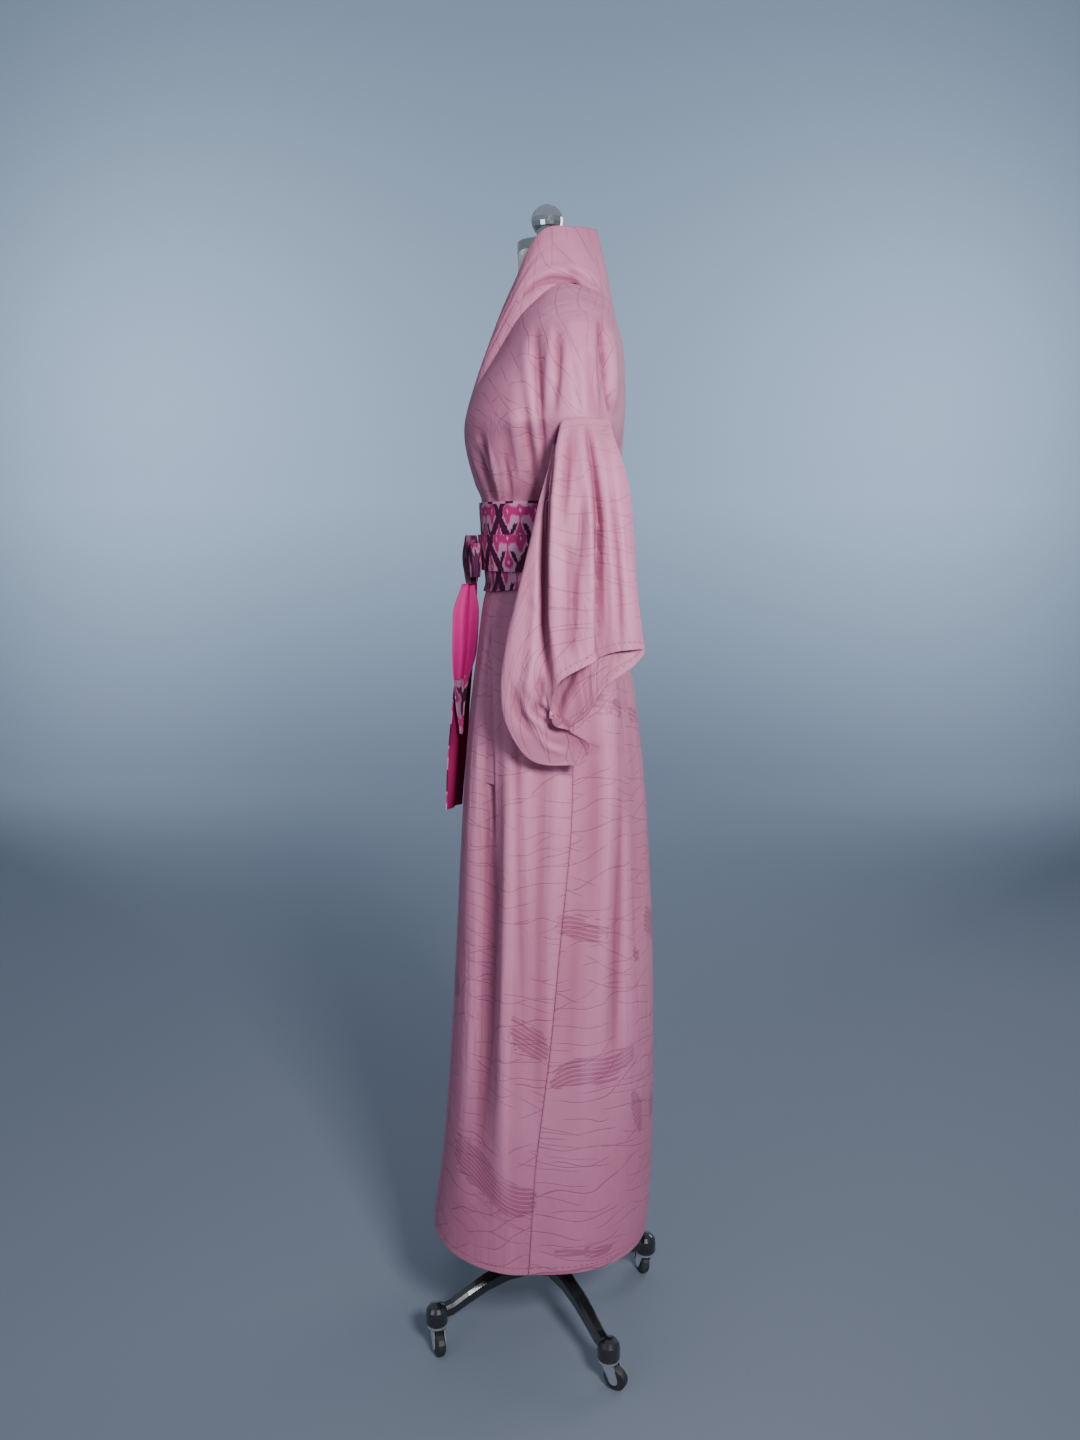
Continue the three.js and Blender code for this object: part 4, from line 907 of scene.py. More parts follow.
sash = []
band_grids = {}
for name, (low, high), stands in SASH_BANDS:
    turn = (1 - np.arange(BAND_COLUMNS) / BAND_COLUMNS) * 2 * np.pi
    rise = SASH_RISE * (1 + np.cos(turn)) / 2 if name == "sash_lower_ikat" else 0 * turn
    rows = []
    for t in np.linspace(0, 1, BAND_ROWS):
        z = mix(low + rise, high, t)
        soft = 0.5 * np.sin(2.5 * turn + z / 14) * math.sin(math.pi * t)
        rows.append(body_points(z, turn, under_lap(turn) + SASH + SASH_GAP + stands + SASH_SLACK + soft))
    band_grids[name] = np.array(rows)
    sash.append(cloth_sheet(name, band_grids[name], thickness=SASH - 0.6, loop=True))

# %% Knot and loop
KNOT = dict(x=14, y=-119.9, bottom=1286, top=1362, half_width=26, half_depth=14, waist=0.72)
BOW = dict(x=58.8, y=-111.2, bottom=1298, top=1350, half_width=21, half_depth=11, waist=0.85)


def wrap_grid(s, columns=96, rows=31, ripple=1.2):
    a = np.arange(columns) / columns * 2 * np.pi
    grid = []
    for t in np.linspace(0, 1, rows):
        swell = mix(s["waist"], 1, math.sin(math.pi * t) ** 0.8)
        pleats = np.cos(7 * a + 5 * t) + 0.6 * np.cos(13 * a - 3 * t)
        pleat = ripple * pleats * math.sin(math.pi * (0.1 + 0.8 * t)) - 1.5
        x = s["x"] + (s["half_width"] * swell + pleat) * np.cos(a)
        y = s["y"] + (s["half_depth"] * swell + pleat) * np.sin(a)
        grid.append(np.stack([x, y, np.full(columns, mix(s["bottom"], s["top"], t))], axis=-1))
    return np.array(grid)


knot = cloth_sheet("sash_knot_ikat", wrap_grid(KNOT), thickness=1.6, loop=True)
bow = cloth_sheet("sash_loop_ikat", wrap_grid(BOW, ripple=0.6), thickness=1.6, loop=True)

# %% Hanging ends
LONG_END = dict(
    z=[919, 980, 1046, 1100, 1180, 1240, 1285.7],
    x=[2, 2, 2, 0, -4, -10, 4],
    y=[-154, -149.5, -144.5, -139.5, -131, -122, -115],
    half=[24, 24, 24, 23, 21, 15, 9],
    gather=[2, 3, 3, 3, 3, 3, 1.5],
    turn=[-23, -25, -25, -25, -22, -15, 0],
)
SHORT_END = dict(
    z=[1046, 1090, 1135, 1180, 1240, 1285.7],
    x=[30, 31, 30, 29, 25, 21],
    y=[-138, -138.5, -136.7, -131.5, -128.5, -125],
    half=[2.5, 7, 12, 19, 21, 10],
    gather=[0, 1, 3, 4, 3, 2],
    turn=[-78, -76, -72, -70, -64, -50],
)


def hanging_end(table, rows=70, columns=30):
    u = np.linspace(0, 1, columns)
    grid = []
    for z in np.linspace(table["z"][0], table["z"][-1], rows):
        x, y, half, gather, turn = (float(track(table, c, z)) for c in ("x", "y", "half", "gather", "turn"))
        across = mix(-1, 1, u) * half
        wave = np.cos(3 * np.pi * u) * gather + 0.5 * np.sin(5 * u + z / 23)
        c, d = math.cos(turn * DEGREE), math.sin(turn * DEGREE)
        grid.append(np.stack([x + across * c - wave * d, y + across * d + wave * c, np.full(columns, z)], axis=-1))
    return np.array(grid)


long_end = cloth_sheet("long_end_silk", hanging_end(LONG_END), thickness=2.2)
short_end = cloth_sheet("short_end_silk", hanging_end(SHORT_END), thickness=2.2)

# %% [markdown]
# ## Dress form
# Under the robe stands a limbless form: a moulded body covered in cream linen, with a chrome cap and ball on
# its neck. The body is lofted from its own measured rings, many more than the solid has, so it looks smooth.

# %% Torso of the form
FORM_SECTIONS = dict(
    z=[880, 900, 960, 1050, 1180, 1280, 1345, 1420, 1500, 1540, 1600, 1640, 1670, 1695, 1715, 1735, 1790],
    half=[148, 158, 164, 161, 138, 115, 110, 118, 136, 140, 142, 145.5, 122.5, 90.5, 60, 47, 45],
    front=[-96, -102, -106, -104, -94, -78, -80, -86, -104, -106, -82, -62, -46, -39, -39, -44, -45],
    back=[112, 119, 124, 121, 102, 80, 76, 82, 96, 98, 97, 92, 80, 66, 54, 47, 45],
)


def lofted_form(name, columns=96):
    heights = finer(FORM_SECTIONS["z"], 6)
    rows = len(heights)
    clear_selection()
    bpy.ops.mesh.primitive_cylinder_add(vertices=columns, radius=1, depth=1, end_fill_type="TRIFAN")
    torso = bpy.context.object
    torso.name = name
    bpy.ops.object.mode_set(mode="EDIT")
    for k in range(rows - 2):
        level = 0.5 - (k + 1) / (rows - 1)
        bpy.ops.mesh.select_all(action="SELECT")
        bpy.ops.mesh.bisect(plane_co=(0, 0, level), plane_no=(0, 0, 1))
    bpy.ops.object.mode_set(mode="OBJECT")
    for vertex in torso.data.vertices:
        z = heights[int(round((vertex.co.z + 0.5) * (rows - 1)))]
        a = math.atan2(vertex.co.y, vertex.co.x)
        r = math.hypot(vertex.co.x, vertex.co.y)
        half, front, back = (float(track(FORM_SECTIONS, c, z)) for c in ("half", "front", "back"))
        reach = back if a > 0 else -front
        vertex.co = (half * math.cos(a) * r * MM, reach * math.sin(a) * r * MM, z * MM)
    bpy.ops.object.shade_smooth_by_angle(angle=40 * DEGREE)
    print(name, len(torso.data.polygons), "faces")
    return torso


torso = lofted_form("form_torso_linen")

# %% [markdown]
# ## Patterns and finishes
# The rose silk carries a jacquard: the same thread, woven so that thin hill lines and bundles of brush strokes
# catch the light differently. It could be an image, but a drawn pattern stays sharp at any distance. Each
# pattern is a node group that reads the cloth's own UV map, in metres, so that it bends with every fold.


# %% Small tools for node groups
class Graph:
    """Adds nodes to one tree and returns their output sockets."""

    def __init__(self, tree):
        self.tree = tree

    def put(self, socket, value):
        if isinstance(value, bpy.types.NodeSocket):
            self.tree.links.new(value, socket)
        else:
            socket.default_value = value

    def calc(self, operation, *values):
        node = self.tree.nodes.new("ShaderNodeMath")
        node.operation = operation
        for socket, value in zip(node.inputs, values):
            self.put(socket, value)
        return node.outputs[0]

    def sum(self, a, b):
        return self.calc("ADD", a, b)

    def minus(self, a, b):
        return self.calc("SUBTRACT", a, b)

    def times(self, a, b):
        return self.calc("MULTIPLY", a, b)

    def size(self, a):
        return self.calc("ABSOLUTE", a)

    def both(self, a, b):
        return self.calc("MULTIPLY", a, b)

    def either(self, a, b):
        return self.calc("MAXIMUM", a, b)

    def ramp(self, value, low, high, start=0.0, end=1.0):
        node = self.tree.nodes.new("ShaderNodeMapRange")
        node.interpolation_type = "SMOOTHSTEP"
        for name, v in (("Value", value), ("From Min", low), ("From Max", high), ("To Min", start), ("To Max", end)):
            self.put(node.inputs[name], v)
        return node.outputs[0]

    def under(self, value, limit, soft):
        return self.ramp(value, limit - soft, limit + soft, 1.0, 0.0)

    def join(self, x, y, z=0.0):
        node = self.tree.nodes.new("ShaderNodeCombineXYZ")
        for socket, value in zip(node.inputs, (x, y, z)):
            self.put(socket, value)
        return node.outputs[0]

    def split(self, vector):
        node = self.tree.nodes.new("ShaderNodeSeparateXYZ")
        self.put(node.inputs[0], vector)
        return node.outputs[0], node.outputs[1], node.outputs[2]

    def noise(self, vector, scale=1.0, detail=2.0, rough=0.5):
        node = self.tree.nodes.new("ShaderNodeTexNoise")
        self.put(node.inputs["Vector"], vector)
        for name, v in (("Scale", scale), ("Detail", detail), ("Roughness", rough)):
            node.inputs[name].default_value = v
        return node.outputs[0]

    def grain(self, u, v, along, across, detail=1.0, rough=0.5, seed=0.0):
        """Noise with so many cells to a metre along and across the cloth."""
        return self.noise(self.join(self.times(u, along), self.times(v, across), seed), 1.0, detail, rough)

    def centred(self, value):
        return self.minus(value, 0.5)

    def thread_random(self, number):
        node = self.tree.nodes.new("ShaderNodeTexWhiteNoise")
        node.noise_dimensions = "1D"
        self.put(node.inputs["W"], number)
        return node.outputs["Value"]

    def tint(self, factor, a, b):
        node = self.tree.nodes.new("ShaderNodeMix")
        node.data_type = "RGBA"
        self.put(node.inputs[0], factor)
        self.put(node.inputs[6], a)
        self.put(node.inputs[7], b)
        return node.outputs[2]


def node_group(name, inputs, outputs):
    tree = bpy.data.node_groups.new(name, "ShaderNodeTree")
    for label, kind in inputs:
        tree.interface.new_socket(name=label, in_out="INPUT", socket_type=kind)
    for label, kind in outputs:
        tree.interface.new_socket(name=label, in_out="OUTPUT", socket_type=kind)
    entry = tree.nodes.new("NodeGroupInput")
    leave = tree.nodes.new("NodeGroupOutput")
    return Graph(tree), entry.outputs, leave.inputs


FLOAT, VECTOR = "NodeSocketFloat", "NodeSocketVector"
print("node tools ready")

# %% Crepe weave
g, given, gives = node_group("crepe_weave", [("Cloth", VECTOR)], [("Height", FLOAT), ("Mottle", FLOAT)])
u, v, _ = g.split(given["Cloth"])
grain = g.grain(u, v, 1500.0, 900.0)
twill = g.calc("SINE", g.sum(g.times(u, 2600.0), g.times(v, 1500.0)))
g.put(gives["Height"], g.sum(grain, g.times(twill, 0.12)))
g.put(gives["Mottle"], g.grain(u, v, 5.0, 3.0, 4.0, 0.6))
print("crepe weave: grain of about 0.8 mm")

# %% Drape lines and crinkles
g, given, gives = node_group("soft_drape", [("Cloth", VECTOR)], [("Drape", FLOAT), ("Crinkle", FLOAT)])
u, v, _ = g.split(given["Cloth"])
hanging = g.noise(g.join(g.sum(g.times(u, 48.0), g.times(v, 3.0)), g.times(v, 4.5)), 1.0, 3.0, 0.55)
where = g.ramp(g.grain(u, v, 7.0, 4.0, 2.0, seed=4.0), 0.40, 0.62)
g.put(gives["Drape"], g.both(g.centred(hanging), where))
slant_u = g.sum(g.times(u, 150.0), g.times(v, 40.0))
slant_v = g.sum(g.times(v, 60.0), g.times(u, -24.0))
slanted = g.noise(g.join(slant_u, slant_v), 1.0, 2.0)
worn = g.ramp(g.grain(u, v, 10.0, 8.0, 2.0, seed=9.0), 0.48, 0.66)
g.put(gives["Crinkle"], g.both(g.centred(slanted), worn))
print("drape lines about 20 mm apart, crinkles about 7 mm apart, both in patches")

# %% Seams and hems
PUCKER_REACH, STITCH_LINE, STITCH_HALF_WIDTH = 0.014, 0.011, 0.0007
g, given, gives = node_group(
    "sewn_edges",
    [("Cloth", VECTOR), ("Hem", FLOAT), ("Seam", FLOAT)],
    [("Pucker", FLOAT), ("Stitches", FLOAT), ("Shade", FLOAT)],
)
u, v, _ = g.split(given["Cloth"])
near_seam = g.ramp(given["Seam"], 0.0005, PUCKER_REACH, 1.0, 0.0)
g.put(gives["Pucker"], g.both(g.centred(g.grain(u, v, 30.0, 170.0, 2.0)), near_seam))
hem_line = g.under(g.size(g.minus(given["Hem"], STITCH_LINE)), STITCH_HALF_WIDTH, 0.0004)
gaps = g.ramp(g.calc("SINE", g.times(u, 900.0)), -0.3, 0.1)
g.put(gives["Stitches"], g.both(hem_line, gaps))
seam_shade = g.ramp(given["Seam"], 0.0, 0.003, 1.0, 0.0)
hem_shade = g.ramp(given["Hem"], 0.0, 0.002, 1.0, 0.0)
g.put(gives["Shade"], g.either(seam_shade, hem_shade))
print(f"seams pucker over {PUCKER_REACH / MM:.0f} mm, the hem is stitched {STITCH_LINE / MM:.0f} mm from its fold")

# %% Jacquard of hill lines and brush strokes
# Each family of lines: metres between lines, how far the hills lift them in lines, tilt and seed.
HILL_LINES = [(0.025, 1.9, 12.0, 3.7), (0.036, 2.2, -9.0, 11.3), (0.029, 1.7, 3.0, 23.1)]
STROKES_PER_METRE = 135.0
g, given, gives = node_group(
    "hill_jacquard", [("Cloth", VECTOR), ("Strokes", FLOAT), ("Across", FLOAT)], [("Lines", FLOAT), ("Bands", FLOAT)]
)
u, v, _ = g.split(given["Cloth"])
lines = None
for every, swing, tilt, seed in HILL_LINES:
    hills = g.noise(g.join(g.sum(g.times(u, 6.5), seed), g.times(v, 5.0)), 1.0, 2.0, 0.4)
    level = g.sum(g.sum(g.times(v, 1 / every), g.times(hills, 2 * swing)), g.times(u, tilt))
    off = g.calc("PINGPONG", level, 0.5)
    here = g.noise(g.join(g.times(u, 9.0), g.sum(g.times(v, 13.0), seed * 2)), 1.0, 1.0)
    line = g.both(g.ramp(off, 0.010, 0.038, 1.0, 0.0), g.ramp(here, 0.47, 0.53))
    lines = line if lines is None else g.either(lines, line)
g.put(gives["Lines"], lines)
place = g.sum(g.times(given["Across"], STROKES_PER_METRE), g.times(g.grain(u, v, 8.0, 3.0), 3.0))
number = g.calc("FLOOR", place)
stripe = g.ramp(g.calc("PINGPONG", place, 0.5), 0.07, 0.17)
ragged = g.grain(u, number, 9.0, 3.7)
woven = g.ramp(g.sum(given["Strokes"], g.times(g.centred(ragged), 2.3)), 0.34, 0.48)
g.put(gives["Bands"], g.both(g.both(stripe, woven), g.ramp(given["Strokes"], 0.02, 0.15)))
print("jacquard: three families of hill lines, and bundles of brush strokes")

# %% [markdown]
# The sash is ikat: its threads were tied and dyed before weaving, so the shapes have stepped, feathered edges.
# The repeat is worked out once, in millimetres: a dark lattice, a row of flowers with a stem and a drop below,
# and a flame in each opening. Every few threads are then slid along by a random step, as on the real loom.

# %% Ikat repeat
HALF_REPEAT = 42.0
REPEAT_HIGH, REPEAT_BELOW = 76.0, 30.0
THREAD_SLIDE, GROUP_SLIDE, EDGE_SLIDE = 3.6, 5.0, 1.4
# Centre along and up, and the two radii, in millimetres.
FLOWER_SHAPES = [
    (0, 35, 8.5, 9), (23, 34, 9.5, 11), (23, 25, 5.0, 11),
    (0, 0, 8.5, 10), (0, 9, 4, 7), (42, -4, 5, 12), (42, 2, 3, 14),
]
FLOWER_HEARTS = [(0, 35), (23, 34), (0, -1), (42, -6)]
g, given, gives = node_group(
    "flower_ikat",
    [("Cloth", VECTOR), ("Start", FLOAT), ("Lift", FLOAT)],
    [("Lattice", FLOAT), ("Flowers", FLOAT), ("Hearts", FLOAT)],
)
u, v, _ = g.split(given["Cloth"])
q = g.minus(g.times(u, 1000.0), given["Start"])
p = g.minus(g.times(v, 1000.0), given["Lift"])
p = g.minus(g.calc("FLOORED_MODULO", g.sum(p, REPEAT_BELOW), REPEAT_HIGH), REPEAT_BELOW)
single = g.thread_random(g.calc("FLOOR", g.times(q, 0.9)))
group = g.noise(g.join(g.times(q, 0.33), 0.0), 1.0, 1.0)
p = g.sum(p, g.sum(g.times(g.centred(single), THREAD_SLIDE), g.times(g.centred(group), GROUP_SLIDE)))
a = g.calc("PINGPONG", q, HALF_REPEAT)
crossing = g.thread_random(g.calc("FLOOR", g.times(p, 0.8)))
a = g.sum(a, g.times(g.centred(crossing), EDGE_SLIDE))


def ellipse(cx, cy, rx, ry, soft=0.12):
    dx, dy = g.times(g.minus(a, cx), 1 / rx), g.times(g.minus(p, cy), 1 / ry)
    return g.under(g.calc("SQRT", g.sum(g.times(dx, dx), g.times(dy, dy))), 1.0, soft)


def between(value, low, high, soft=0.5):
    return g.both(g.ramp(value, low - soft, low + soft), g.ramp(value, high - soft, high + soft, 1.0, 0.0))


path = g.calc("MAXIMUM", g.minus(HALF_REPEAT, g.times(g.size(g.minus(27.0, p)), 0.62)), 19.0)
lattice = g.under(g.size(g.minus(a, path)), 7.6, 0.4)
tips_path = g.sum(8.0, g.times(g.minus(15.0, p), 0.52))
tips = g.both(g.under(g.size(g.minus(a, tips_path)), 3.6, 0.4), between(p, -9.0, 17.0))
lattice = g.either(lattice, tips)
flowers = g.both(between(p, 29.0, 41.5), g.under(a, 30.0, 0.5))
for shape in FLOWER_SHAPES:
    flowers = g.either(flowers, ellipse(*shape))
stem = g.both(g.under(a, 1.5, 0.3), between(p, 0.0, 33.0))
flowers = g.either(flowers, stem)
hearts = None
for cx, cy in FLOWER_HEARTS:
    heart = ellipse(cx, cy, 1.4, 2.6, 0.3)
    hearts = heart if hearts is None else g.either(hearts, heart)
g.put(gives["Lattice"], g.both(lattice, g.minus(1.0, flowers)))
g.put(gives["Flowers"], flowers)
g.put(gives["Hearts"], hearts)
print("ikat repeat:", 2 * HALF_REPEAT, "mm long and", REPEAT_HIGH, "mm high")


# %% Silk material
def use_group(graph, name, **values):
    node = graph.tree.nodes.new("ShaderNodeGroup")
    node.node_tree = bpy.data.node_groups[name]
    for label, value in values.items():
        graph.put(node.inputs[label], value)
    return node.outputs


def cloth_coordinates(graph):
    node = graph.tree.nodes.new("ShaderNodeUVMap")
    node.uv_map = "Cloth"
    return node.outputs[0]


def object_place(graph):
    return graph.tree.nodes.new("ShaderNodeTexCoord").outputs["Object"]


def attribute(graph, name):
    node = graph.tree.nodes.new("ShaderNodeAttribute")
    node.attribute_name = name
    return node.outputs["Fac"]


def bump(graph, height, strength, distance, normal=None):
    node = graph.tree.nodes.new("ShaderNodeBump")
    node.inputs["Strength"].default_value = strength
    node.inputs["Distance"].default_value = distance
    graph.put(node.inputs["Height"], height)
    if normal is not None:
        graph.put(node.inputs["Normal"], normal)
    return node.outputs[0]


def new_material(name):
    material = bpy.data.materials.new(name)
    material.use_nodes = True
    return material, Graph(material.node_tree), material.node_tree.nodes["Principled BSDF"]


ROSE, ROSE_WORN = (0.47, 0.152, 0.250, 1), (0.54, 0.188, 0.305, 1)
ROSE_DEEP, ROSE_RIDGE_HIGHLIGHT = (0.20, 0.040, 0.085, 1), (0.66, 0.25, 0.41, 1)

silk, g, shader = new_material("rose_silk")
cloth = cloth_coordinates(g)
strokes, across, hem, seam, hollow, even = (
    attribute(g, name) for name in ("Strokes", "Across", "Hem", "Seam", "Hollow", "Even")
)
weave = use_group(g, "crepe_weave", Cloth=cloth)
figure = use_group(g, "hill_jacquard", Cloth=cloth, Strokes=strokes, Across=across)
sewn = use_group(g, "sewn_edges", Cloth=cloth, Hem=hem, Seam=seam)
drape = use_group(g, "soft_drape", Cloth=cloth)

color = g.tint(g.ramp(weave["Mottle"], 0.35, 0.7), ROSE, ROSE_WORN)
for amount in (
    g.times(weave["Height"], 0.18),
    g.times(figure["Bands"], 0.50),
    g.times(g.times(figure["Lines"], even), 0.40),
    # Darker in the troughs of the folds: painted shade.
    g.ramp(hollow, -0.2, 4.0, 0.0, 0.50),
):
    color = g.tint(amount, color, ROSE_DEEP)
# Lighter on the ridges of the folds: a painted highlight.
color = g.tint(g.ramp(hollow, -3.5, -0.6, 0.30, 0.0), color, ROSE_RIDGE_HIGHLIGHT)
for amount in (g.times(sewn["Shade"], 0.35), g.times(sewn["Stitches"], 0.45)):
    color = g.tint(amount, color, ROSE_DEEP)
g.put(shader.inputs["Base Color"], color)

wrinkles = g.sum(g.times(drape["Drape"], 6.0), g.times(drape["Crinkle"], 1.6))
folded = bump(g, g.times(even, wrinkles), 0.8, 0.0011)
grain_normal = bump(g, weave["Height"], 0.25, 0.0004, folded)
raised = g.sum(g.times(figure["Lines"], -1.0), g.times(figure["Bands"], -0.35))
raised = g.times(even, g.sum(raised, g.minus(g.times(sewn["Pucker"], 1.6), sewn["Stitches"])))
g.put(shader.inputs["Normal"], bump(g, raised, 0.60, 0.0010, grain_normal))
g.put(shader.inputs["Roughness"], g.sum(0.58, g.times(figure["Bands"], -0.12)))
shader.inputs["Sheen Weight"].default_value = 0.03
shader.inputs["Specular IOR Level"].default_value = 0.22
print("rose silk ready")


# %% Sash materials
IKAT_ROSE, IKAT_PALE = (0.58, 0.24, 0.39, 1), (0.68, 0.34, 0.50, 1)
IKAT_DARK, IKAT_RED, IKAT_HEART = (0.050, 0.006, 0.032, 1), (0.47, 0.022, 0.165, 1), (0.66, 0.36, 0.50, 1)
# The darker of the next two colours is painted shade, laid into the hollows of the folds.
BETWEEN_THREADS, SHADE_IN_HOLLOWS = (0.10, 0.01, 0.04, 1), (0.06, 0.008, 0.035, 1)


def ikat_material(name, start, lift, shade=0.0):
    material, g, shader = new_material(name)
    cloth = cloth_coordinates(g)
    weave = use_group(g, "crepe_weave", Cloth=cloth)
    figure = use_group(g, "flower_ikat", Cloth=cloth, Start=start, Lift=lift)
    color = g.tint(g.times(weave["Mottle"], 0.5), IKAT_ROSE, IKAT_PALE)
    for label, shade_of in (("Lattice", IKAT_DARK), ("Flowers", IKAT_RED), ("Hearts", IKAT_HEART)):
        color = g.tint(figure[label], color, shade_of)
    # The knot and loop are darkened in random patches: painted shade standing in for their folds.
    if shade:
        fold_shade_patches = g.ramp(weave["Mottle"], 0.40, 0.52, shade, 0.15)
        color = g.tint(fold_shade_patches, color, IKAT_DARK)
    color = g.tint(g.times(weave["Height"], 0.25), color, BETWEEN_THREADS)
    # Darker in the hollows of the folds: painted shade.
    color = g.tint(g.ramp(attribute(g, "Hollow"), 0.0, 1.5, 0.0, 0.5), color, SHADE_IN_HOLLOWS)
    g.put(shader.inputs["Base Color"], color)
    g.put(shader.inputs["Normal"], bump(g, weave["Height"], 0.3, 0.0004))
    g.put(shader.inputs["Roughness"], g.sum(0.62, g.times(weave["Height"], 0.1)))
    shader.inputs["Specular IOR Level"].default_value = 0.15
    return material


def plain_silk(name, light, dark):
    material, g, shader = new_material(name)
    weave = use_group(g, "crepe_weave", Cloth=cloth_coordinates(g))
    color = g.tint(g.times(weave["Mottle"], 0.6), light, dark)
    g.put(shader.inputs["Base Color"], g.tint(g.times(weave["Height"], 0.2), color, dark))
    g.put(shader.inputs["Normal"], bump(g, weave["Height"], 0.3, 0.0004))
    g.put(shader.inputs["Roughness"], g.sum(0.55, g.times(weave["Mottle"], 0.1)))
    shader.inputs["Specular IOR Level"].default_value = 0.2
    return material


def start_at(band_grid, y):
    """How far along a band, in millimetres, its left side passes the given Y."""
    row = band_grid[len(band_grid) // 2]
    steps = np.linalg.norm(np.roll(row, -1, axis=0) - row, axis=1)
    along = np.concatenate([[0], np.cumsum(steps)[:-1]])
    left = row[:, 0] > 0
    return float(along[left][np.argmin(np.abs(row[left, 1] - y))])


magenta = plain_silk("magenta_silk", (0.50, 0.005, 0.165, 1), (0.34, 0.004, 0.100, 1))
# The long end hangs in shade, so its plain side is a darker copy of the magenta: painted shade.
magenta_in_shade = plain_silk("magenta_silk_in_shade", (0.30, 0.008, 0.080, 1), (0.20, 0.005, 0.055, 1))
# Where a flower is centred on each band's left side, and how high the repeat starts on it.
BAND_FLOWER_Y, BAND_LIFT = (-38, -58, -44), (3.0, 14.0, -8.0)
band_materials = [
    ikat_material(f"ikat_{name}", start_at(grid, y), lift)
    for (name, grid), y, lift in zip(band_grids.items(), BAND_FLOWER_Y, BAND_LIFT)
]
knot_ikat = ikat_material("ikat_knot", 26.0, 24.0, 0.85)
loop_ikat = ikat_material("ikat_loop", 26.0, 30.0, 0.6)
end_ikat = ikat_material("ikat_end", 30.0, 60.0)
print("sash finishes:", 4 + len(band_materials))


# %% Linen of the dress form
linen, g, shader = new_material("cream_linen")
place = object_place(g)
x, y, z = g.split(place)
upright = g.calc("SINE", g.times(z, 5200.0))
level = g.calc("SINE", g.times(g.sum(x, g.times(y, 0.7)), 5200.0))
threads = g.sum(upright, level)
slub = g.noise(place, 260.0, 3.0)
g.put(shader.inputs["Base Color"], g.tint(slub, (0.78, 0.76, 0.70, 1), (0.88, 0.87, 0.82, 1)))
g.put(shader.inputs["Normal"], bump(g, g.sum(g.times(threads, 0.3), slub), 0.3, 0.0004))
g.put(shader.inputs["Roughness"], g.sum(0.8, g.times(slub, 0.1)))
print("linen ready")

# %% [markdown]
# The stand's metal could be one flat grey, but a real one shows what it has been through: chrome carries fine
# wipe marks and dust, enamel is glossy under a clear coat with a faint orange-peel, and tyres are dull from
# the floor. All three share one group for dust and wear.

# %% Dust and wear
g, given, gives = node_group(
    "dust_and_wear", [("Place", VECTOR)], [("Dust", FLOAT), ("Scratches", FLOAT), ("Peel", FLOAT)]
)
x, y, z = g.split(given["Place"])
g.put(gives["Dust"], g.ramp(g.noise(given["Place"], 34.0, 4.0, 0.65), 0.42, 0.72))
fine = g.noise(g.join(g.times(x, 900.0), g.times(y, 900.0), g.times(z, 60.0)), 1.0, 1.0)
g.put(gives["Scratches"], g.ramp(fine, 0.60, 0.72))
g.put(gives["Peel"], g.noise(given["Place"], 420.0, 1.0))
print("one group for dust, fine scratches and orange-peel")


# %% Chrome, enamel and rubber
RING_FROM, RING_TO, RING_SOFT = 0.0435, 0.0465, 0.0003
BRASS = (0.62, 0.48, 0.16, 1)


def chrome_material(name, bright, brass_ring=False):
    material, g, shader = new_material(name)
    place = object_place(g)
    wear = use_group(g, "dust_and_wear", Place=place)
    color = g.tint(g.times(wear["Dust"], 0.25), bright, (0.42, 0.42, 0.42, 1))
    if brass_ring:
        height = g.split(place)[2]
        above = g.ramp(height, RING_FROM, RING_FROM + RING_SOFT)
        below = g.ramp(height, RING_TO - RING_SOFT, RING_TO, 1.0, 0.0)
        color = g.tint(g.both(above, below), color, BRASS)
    g.put(shader.inputs["Base Color"], color)
    dulled = g.sum(g.times(wear["Dust"], 0.14), g.times(wear["Scratches"], 0.08))
    g.put(shader.inputs["Roughness"], g.sum(0.09, dulled))
    g.put(shader.inputs["Normal"], bump(g, wear["Scratches"], 0.05, 0.0001))
    shader.inputs["Metallic"].default_value = 1.0
    return material


def dusty_black(name, colors, dust, rough, rougher, peel_strength, peel_depth):
    """A black finish that goes from clean to dusty, with a finely dimpled skin."""
    material, g, shader = new_material(name)
    wear = use_group(g, "dust_and_wear", Place=object_place(g))
    g.put(shader.inputs["Base Color"], g.tint(g.times(wear["Dust"], dust), *colors))
    g.put(shader.inputs["Roughness"], g.sum(rough, g.times(wear["Dust"], rougher)))
    g.put(shader.inputs["Normal"], bump(g, wear["Peel"], peel_strength, peel_depth))
    return material, shader


# One chrome in two brightnesses: the darker one on cap, ball, column and pedals is painted dark reflection, the
# brighter one on the forks painted bright reflection.
chrome = chrome_material("chrome_painted_dark", (0.66, 0.67, 0.70, 1))
fork_chrome = chrome_material("fork_chrome", (0.92, 0.93, 0.94, 1), brass_ring=True)
enamel_colors = (0.012, 0.012, 0.014, 1), (0.035, 0.036, 0.040, 1)
enamel, shader = dusty_black("black_enamel", enamel_colors, 0.25, 0.20, 0.10, 0.03, 0.0002)
shader.inputs["Coat Weight"].default_value = 0.8
shader.inputs["Coat Roughness"].default_value = 0.06
rubber_colors = (0.020, 0.020, 0.022, 1), (0.075, 0.075, 0.078, 1)
rubber, _ = dusty_black("wheel_rubber", rubber_colors, 0.7, 0.45, 0.3, 0.15, 0.0003)
print("chrome, enamel and rubber ready")

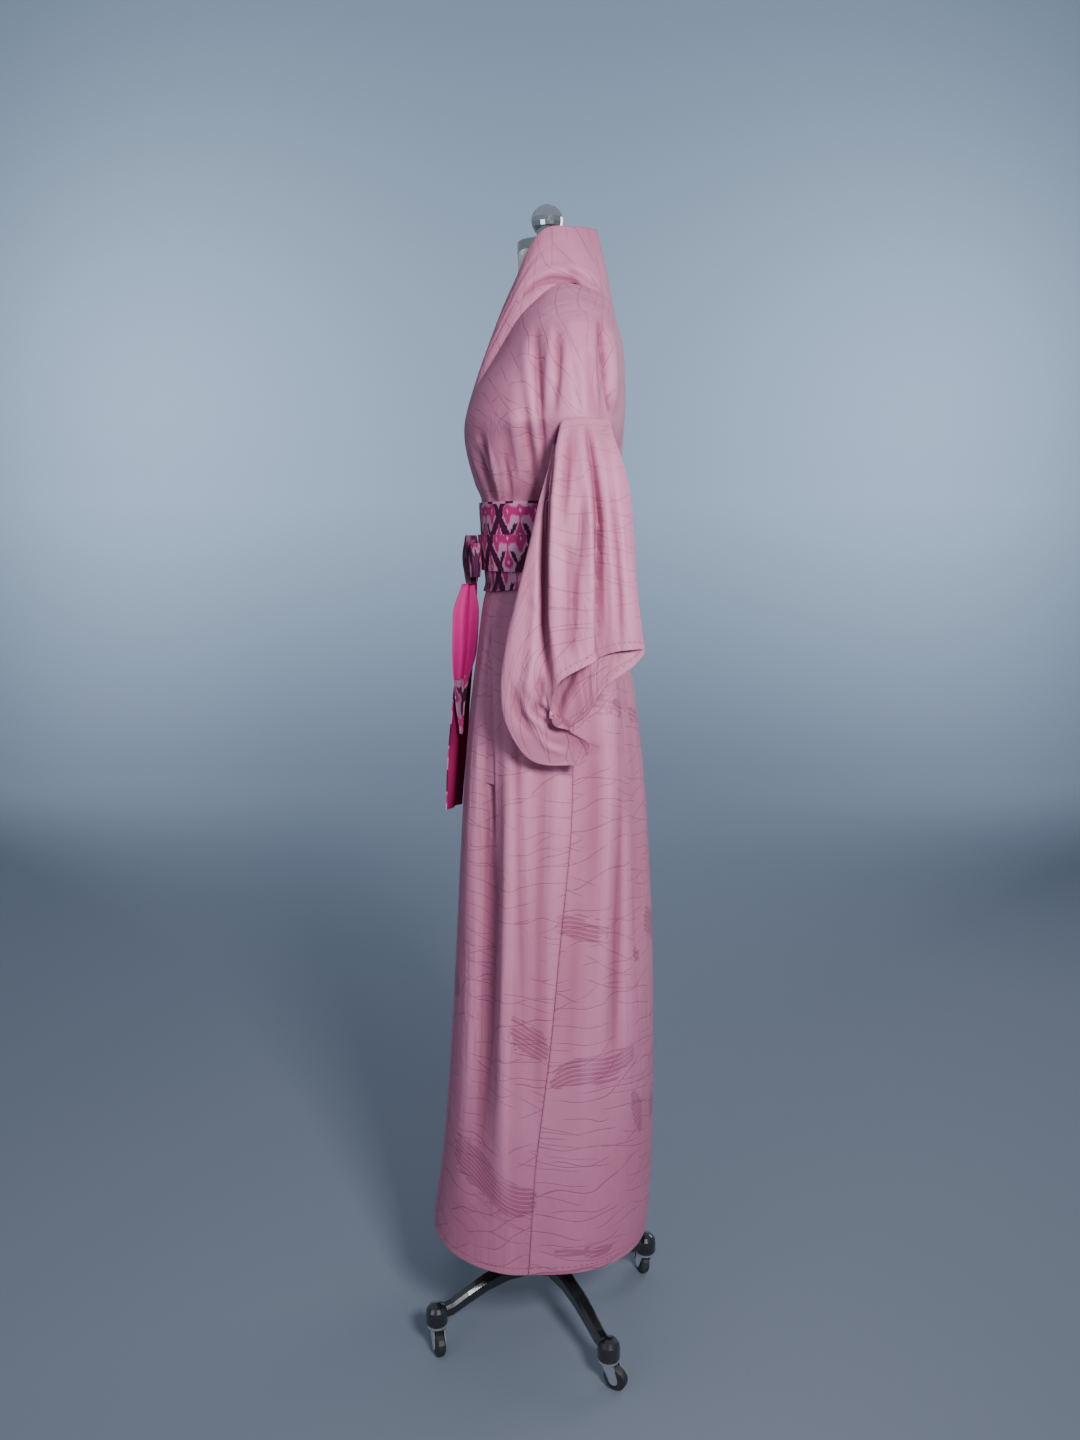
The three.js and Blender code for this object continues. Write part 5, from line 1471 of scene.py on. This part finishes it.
# %% The stand's solids get their finishes
CASTERS = ("near_front", "near_back", "far_back", "far_front")
stand_finishes = {"stand_base": enamel}
for name in ("neck_cap", "ball_finial", "stand_column", "pedal_near_front", "pedal_far_front"):
    stand_finishes[name] = chrome
for caster in CASTERS:
    stand_finishes[f"fork_{caster}"] = fork_chrome
    stand_finishes[f"wheel_{caster}"] = rubber
for name, material in stand_finishes.items():
    solid = bpy.data.objects[name]
    solid.data.materials.clear()
    solid.data.materials.append(material)
print("finishes on", len(stand_finishes), "solids of the stand")

# %% Cloth gets its finishes
for piece in (left_body, right_body, left_okumi, right_okumi, collar, left_sleeve, right_sleeve):
    piece.data.materials.append(silk)
for band, material in zip(sash, band_materials):
    band.data.materials.append(material)
knot.data.materials.append(knot_ikat)
bow.data.materials.append(loop_ikat)
torso.data.materials.append(linen)
# The long end's plain side takes the darker copy of the magenta: painted shade.
for end, lining in ((long_end, magenta_in_shade), (short_end, magenta)):
    end.data.materials.append(lining)
    end.data.materials.append(end_ikat)
# The ends are ikat outside and plain inside. The short one is twisted, so it turns its ikat out again below
# a slanting line.
TWIST_Y, TWIST_Z, TWIST_SLOPE, FACES_AWAY = -0.137, 1.138, 0.2, -0.3
for face in short_end.data.polygons:
    below = face.center.z < TWIST_Z + TWIST_SLOPE * (face.center.y - TWIST_Y)
    face.material_index = 1 if below or face.normal.x < FACES_AWAY else 0
for face in long_end.data.polygons:
    face.material_index = 1 if face.normal.y < FACES_AWAY else 0
print("materials in all:", len(bpy.data.materials))

# %% What each piece stands for
for piece, node, slot in [
    (left_body, "left_body_panel", "silk"),
    (right_body, "right_body_panel", "silk"),
    (left_okumi, "left_okumi", "silk"),
    (right_okumi, "right_okumi", "silk"),
    (collar, "collar", "silk"),
    (left_sleeve, "left_sleeve", "silk"),
    (right_sleeve, "right_sleeve", "silk"),
    (sash[0], "sash_upper", "ikat"),
    (sash[1], "sash_middle", "ikat"),
    (sash[2], "sash_lower", "ikat"),
    (knot, "sash_knot", "ikat"),
    (bow, "sash_loop", "ikat"),
    (long_end, "sash_long_end", "ikat"),
    (short_end, "sash_short_end", "magenta"),
    (torso, "form_torso", "linen"),
]:
    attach(piece, "robe_and_form")
    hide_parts(node)
